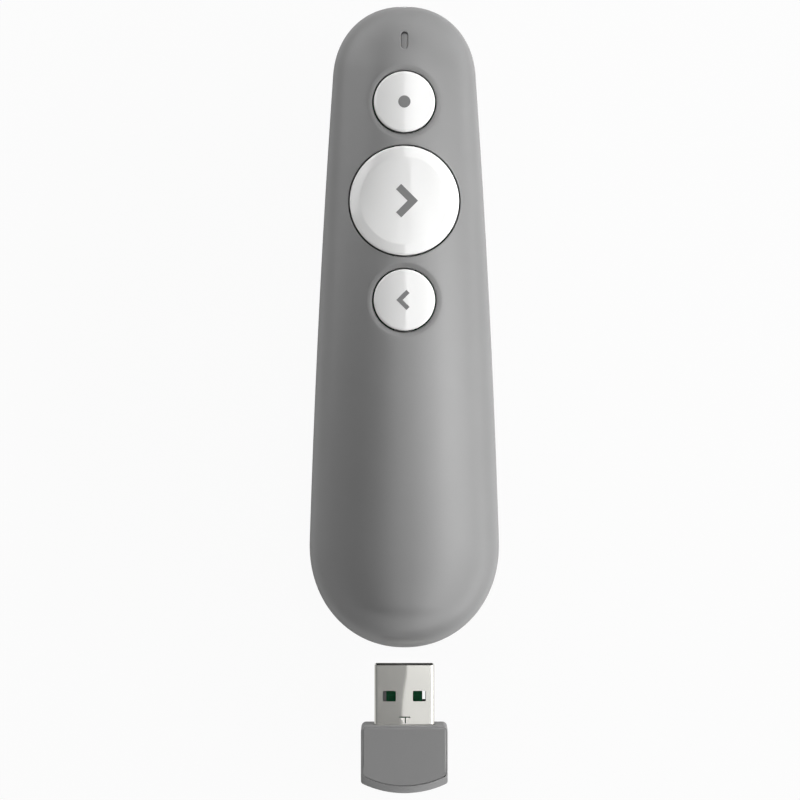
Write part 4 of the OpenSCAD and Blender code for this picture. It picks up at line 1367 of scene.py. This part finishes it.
def card_glow():
    """Light of the cards: as strong as each place on them says."""
    glow = bpy.data.materials.new("card_glow")
    glow.use_nodes = True
    tree = glow.node_tree
    tree.nodes.clear()
    place = add(tree, "ShaderNodeAttribute", attribute_name="glow")
    lamp = add(tree, "ShaderNodeEmission", {"Strength": place.outputs["Fac"]})
    add(tree, "ShaderNodeOutputMaterial", {"Surface": lamp.outputs["Emission"]})
    return glow


def lamp(name, place, size, watts):
    """Soft box that faces the object; its length lies level."""
    light = bpy.data.lights.new(name, "AREA")
    light.shape = "RECTANGLE"
    light.size, light.size_y = size
    light.energy = watts
    made = bpy.data.objects.new(name, light)
    made.location = place
    made.rotation_euler = Vector(place).to_track_quat("Z", "X").to_euler()
    made.visible_glossy = False
    bpy.context.scene.collection.objects.link(made)


# Reflection cards: their height and how far they reach, then for each row its low and high
# edge in y, the x where its dark and bright cards meet, and the strengths by x on either side
CARD_Z, REACH = 0.8, 5.0
CARD_ROWS = (
    (-5.0, -0.6, 0.0013, ((-0.8, 1.1), (-0.2, 1.7), (0.0, 1.2)),
     ((0.0, 2.4), (0.2, 3.7), (0.8, 3.6), (1.5, 2.5))),
    (-0.6, -0.2, 0.0013, ((-0.8, 0.8), (-0.3, 0.0)),
     ((0.0, 0.6), (0.085, 1.5), (0.2, 2.8), (0.8, 2.4), (1.5, 0.6))),
    (-0.2, -0.1, 0.0010, ((-0.3, 0.25), (-0.12, 0.4), (0.0, 0.4)),
     ((0.0, 1.05), (0.11, 1.05), (0.2, 3.7), (0.38, 6.1), (0.8, 4.0), (1.5, 1.8))),
    (-0.1, 0.2, 0.006, ((-0.16, 0.0), (0.0, 1.0)),
     ((0.0, 6.2), (0.06, 5.0), (0.12, 4.6), (0.2, 4.7), (0.38, 9.0), (0.8, 6.4), (1.5, 2.6))),
    (0.2, 0.6, 0.0013, ((-0.8, 2.5), (-0.45, 4.0), (-0.25, 0.4), (-0.08, 0.4), (0.0, 0.9)),
     ((0.0, 4.0), (0.085, 5.8), (0.2, 4.0), (0.4, 1.2), (1.5, 0.9))),
    (0.6, 5.0, 0.0013, ((-0.8, 2.4), (-0.4, 0.9), (-0.25, 0.0)),
     ((0.0, 2.2), (0.2, 2.2), (0.8, 2.5), (1.5, 1.2))),
)


class CLICKER_OT_studio(bpy.types.Operator):
    """Sets up the camera, the floor, the lamps and the reflection cards"""
    bl_idname = "clicker.studio"
    bl_label = "Studio"

    def execute(self, context):
        scene = context.scene
        scene.view_settings.view_transform = "Standard"
        lens = bpy.data.cameras.new("camera")
        lens.angle = math.radians(17.36)
        lens.clip_start = 0.01
        camera = bpy.data.objects.new("camera", lens)
        camera.location = (-0.00086, -0.01455, 0.53205)
        scene.collection.objects.link(camera)
        scene.camera = camera

        world = bpy.data.worlds.new("studio")
        world.use_nodes = True
        tree = world.node_tree
        tree.nodes.clear()
        fill = add(tree, "ShaderNodeBackground", {"Color": linear("#FFFFFF"), "Strength": 0.26})
        white = add(tree, "ShaderNodeBackground", {"Color": linear("#FFFFFF"), "Strength": 1.0})
        mix = add(tree, "ShaderNodeMixShader", {
            0: is_seen(tree), 1: fill.outputs["Background"], 2: white.outputs["Background"]})
        add(tree, "ShaderNodeOutputWorld", {"Surface": mix.outputs["Shader"]})
        scene.world = world

        floor = plane("floor", [(-3, -3, 0), (3, -3, 0), (3, 3, 0), (-3, 3, 0)])
        paper = bpy.data.materials.new("white_paper")
        paper.use_nodes = True
        tree = paper.node_tree
        tree.nodes.clear()
        matt = add(tree, "ShaderNodeBsdfDiffuse", {"Color": linear("#E6E6E6")})
        shine = add(tree, "ShaderNodeEmission", {"Strength": 1.0})
        pale = add(tree, "ShaderNodeMixShader", {
            0: 0.94, 1: matt.outputs["BSDF"], 2: shine.outputs["Emission"]})
        both = add(tree, "ShaderNodeMixShader", {
            0: is_seen(tree), 1: matt.outputs["BSDF"], 2: pale.outputs["Shader"]})
        add(tree, "ShaderNodeOutputMaterial", {"Surface": both.outputs["Shader"]})
        floor.data.materials.append(paper)

        lamp("side_strip", (1.1, 0.0, 0.22), (0.3, 3.0), 32.5)
        lamp("nose_box", (0.0, 1.1, 0.5), (0.5, 0.5), 5.0)
        lamp("nose_left_box", (-0.7, 0.85, 0.46), (0.5, 0.5), 2.6)

        # Cards above the camera: dark to the left of the housing's centre line, bright to the right
        shine = card_glow()
        for row, (low, high, meet, dark, bright) in enumerate(CARD_ROWS):
            dark = [(-REACH, dark[0][1])] + [(x, s) for x, s in dark if x < meet - 0.01] + [(meet, dark[-1][1])]
            bright = [(meet, bright[0][1])] + [(x, s) for x, s in bright if x > meet] + [(REACH, bright[-1][1])]
            card(f"card_left_{row}", low, high, dark, shine)
            card(f"card_right_{row}", low, high, bright, shine)
        return {"FINISHED"}


# ---- add-on ----

class CLICKER_PT_panel(bpy.types.Panel):
    """Lists the clicker's pieces, sizes and colours"""
    bl_idname = "CLICKER_PT_panel"
    bl_label = "Presentation clicker"
    bl_space_type = "VIEW_3D"
    bl_region_type = "UI"
    bl_category = "Clicker"

    def draw(self, context):
        for operator in OPERATORS:
            self.layout.operator(operator.bl_idname)
        for group in (context.scene.clicker_colours, context.scene.clicker_sizes):
            box = self.layout.box()
            for key in type(group).__annotations__:
                box.prop(group, key)


OPERATORS = (CLICKER_OT_studio, CLICKER_OT_housing, CLICKER_OT_door, CLICKER_OT_buttons,
             CLICKER_OT_signs, CLICKER_OT_windows, CLICKER_OT_receiver, CLICKER_OT_insides)
CLASSES = (ClickerSizes, ClickerColours) + OPERATORS + (CLICKER_PT_panel,)


def register():
    for made in CLASSES:
        bpy.utils.register_class(made)
    bpy.types.Scene.clicker_sizes = bpy.props.PointerProperty(type=ClickerSizes)
    bpy.types.Scene.clicker_colours = bpy.props.PointerProperty(type=ClickerColours)


def unregister():
    del bpy.types.Scene.clicker_colours
    del bpy.types.Scene.clicker_sizes
    for made in reversed(CLASSES):
        bpy.utils.unregister_class(made)


def main():
    register()
    bpy.ops.clicker.studio()
    bpy.ops.clicker.housing()
    bpy.ops.clicker.door()
    bpy.ops.clicker.buttons()
    bpy.ops.clicker.signs()
    bpy.ops.clicker.windows()
    bpy.ops.clicker.receiver()
    bpy.ops.clicker.insides()
    bpy.context.view_layer.update()


if __name__ == "__main__":
    main()
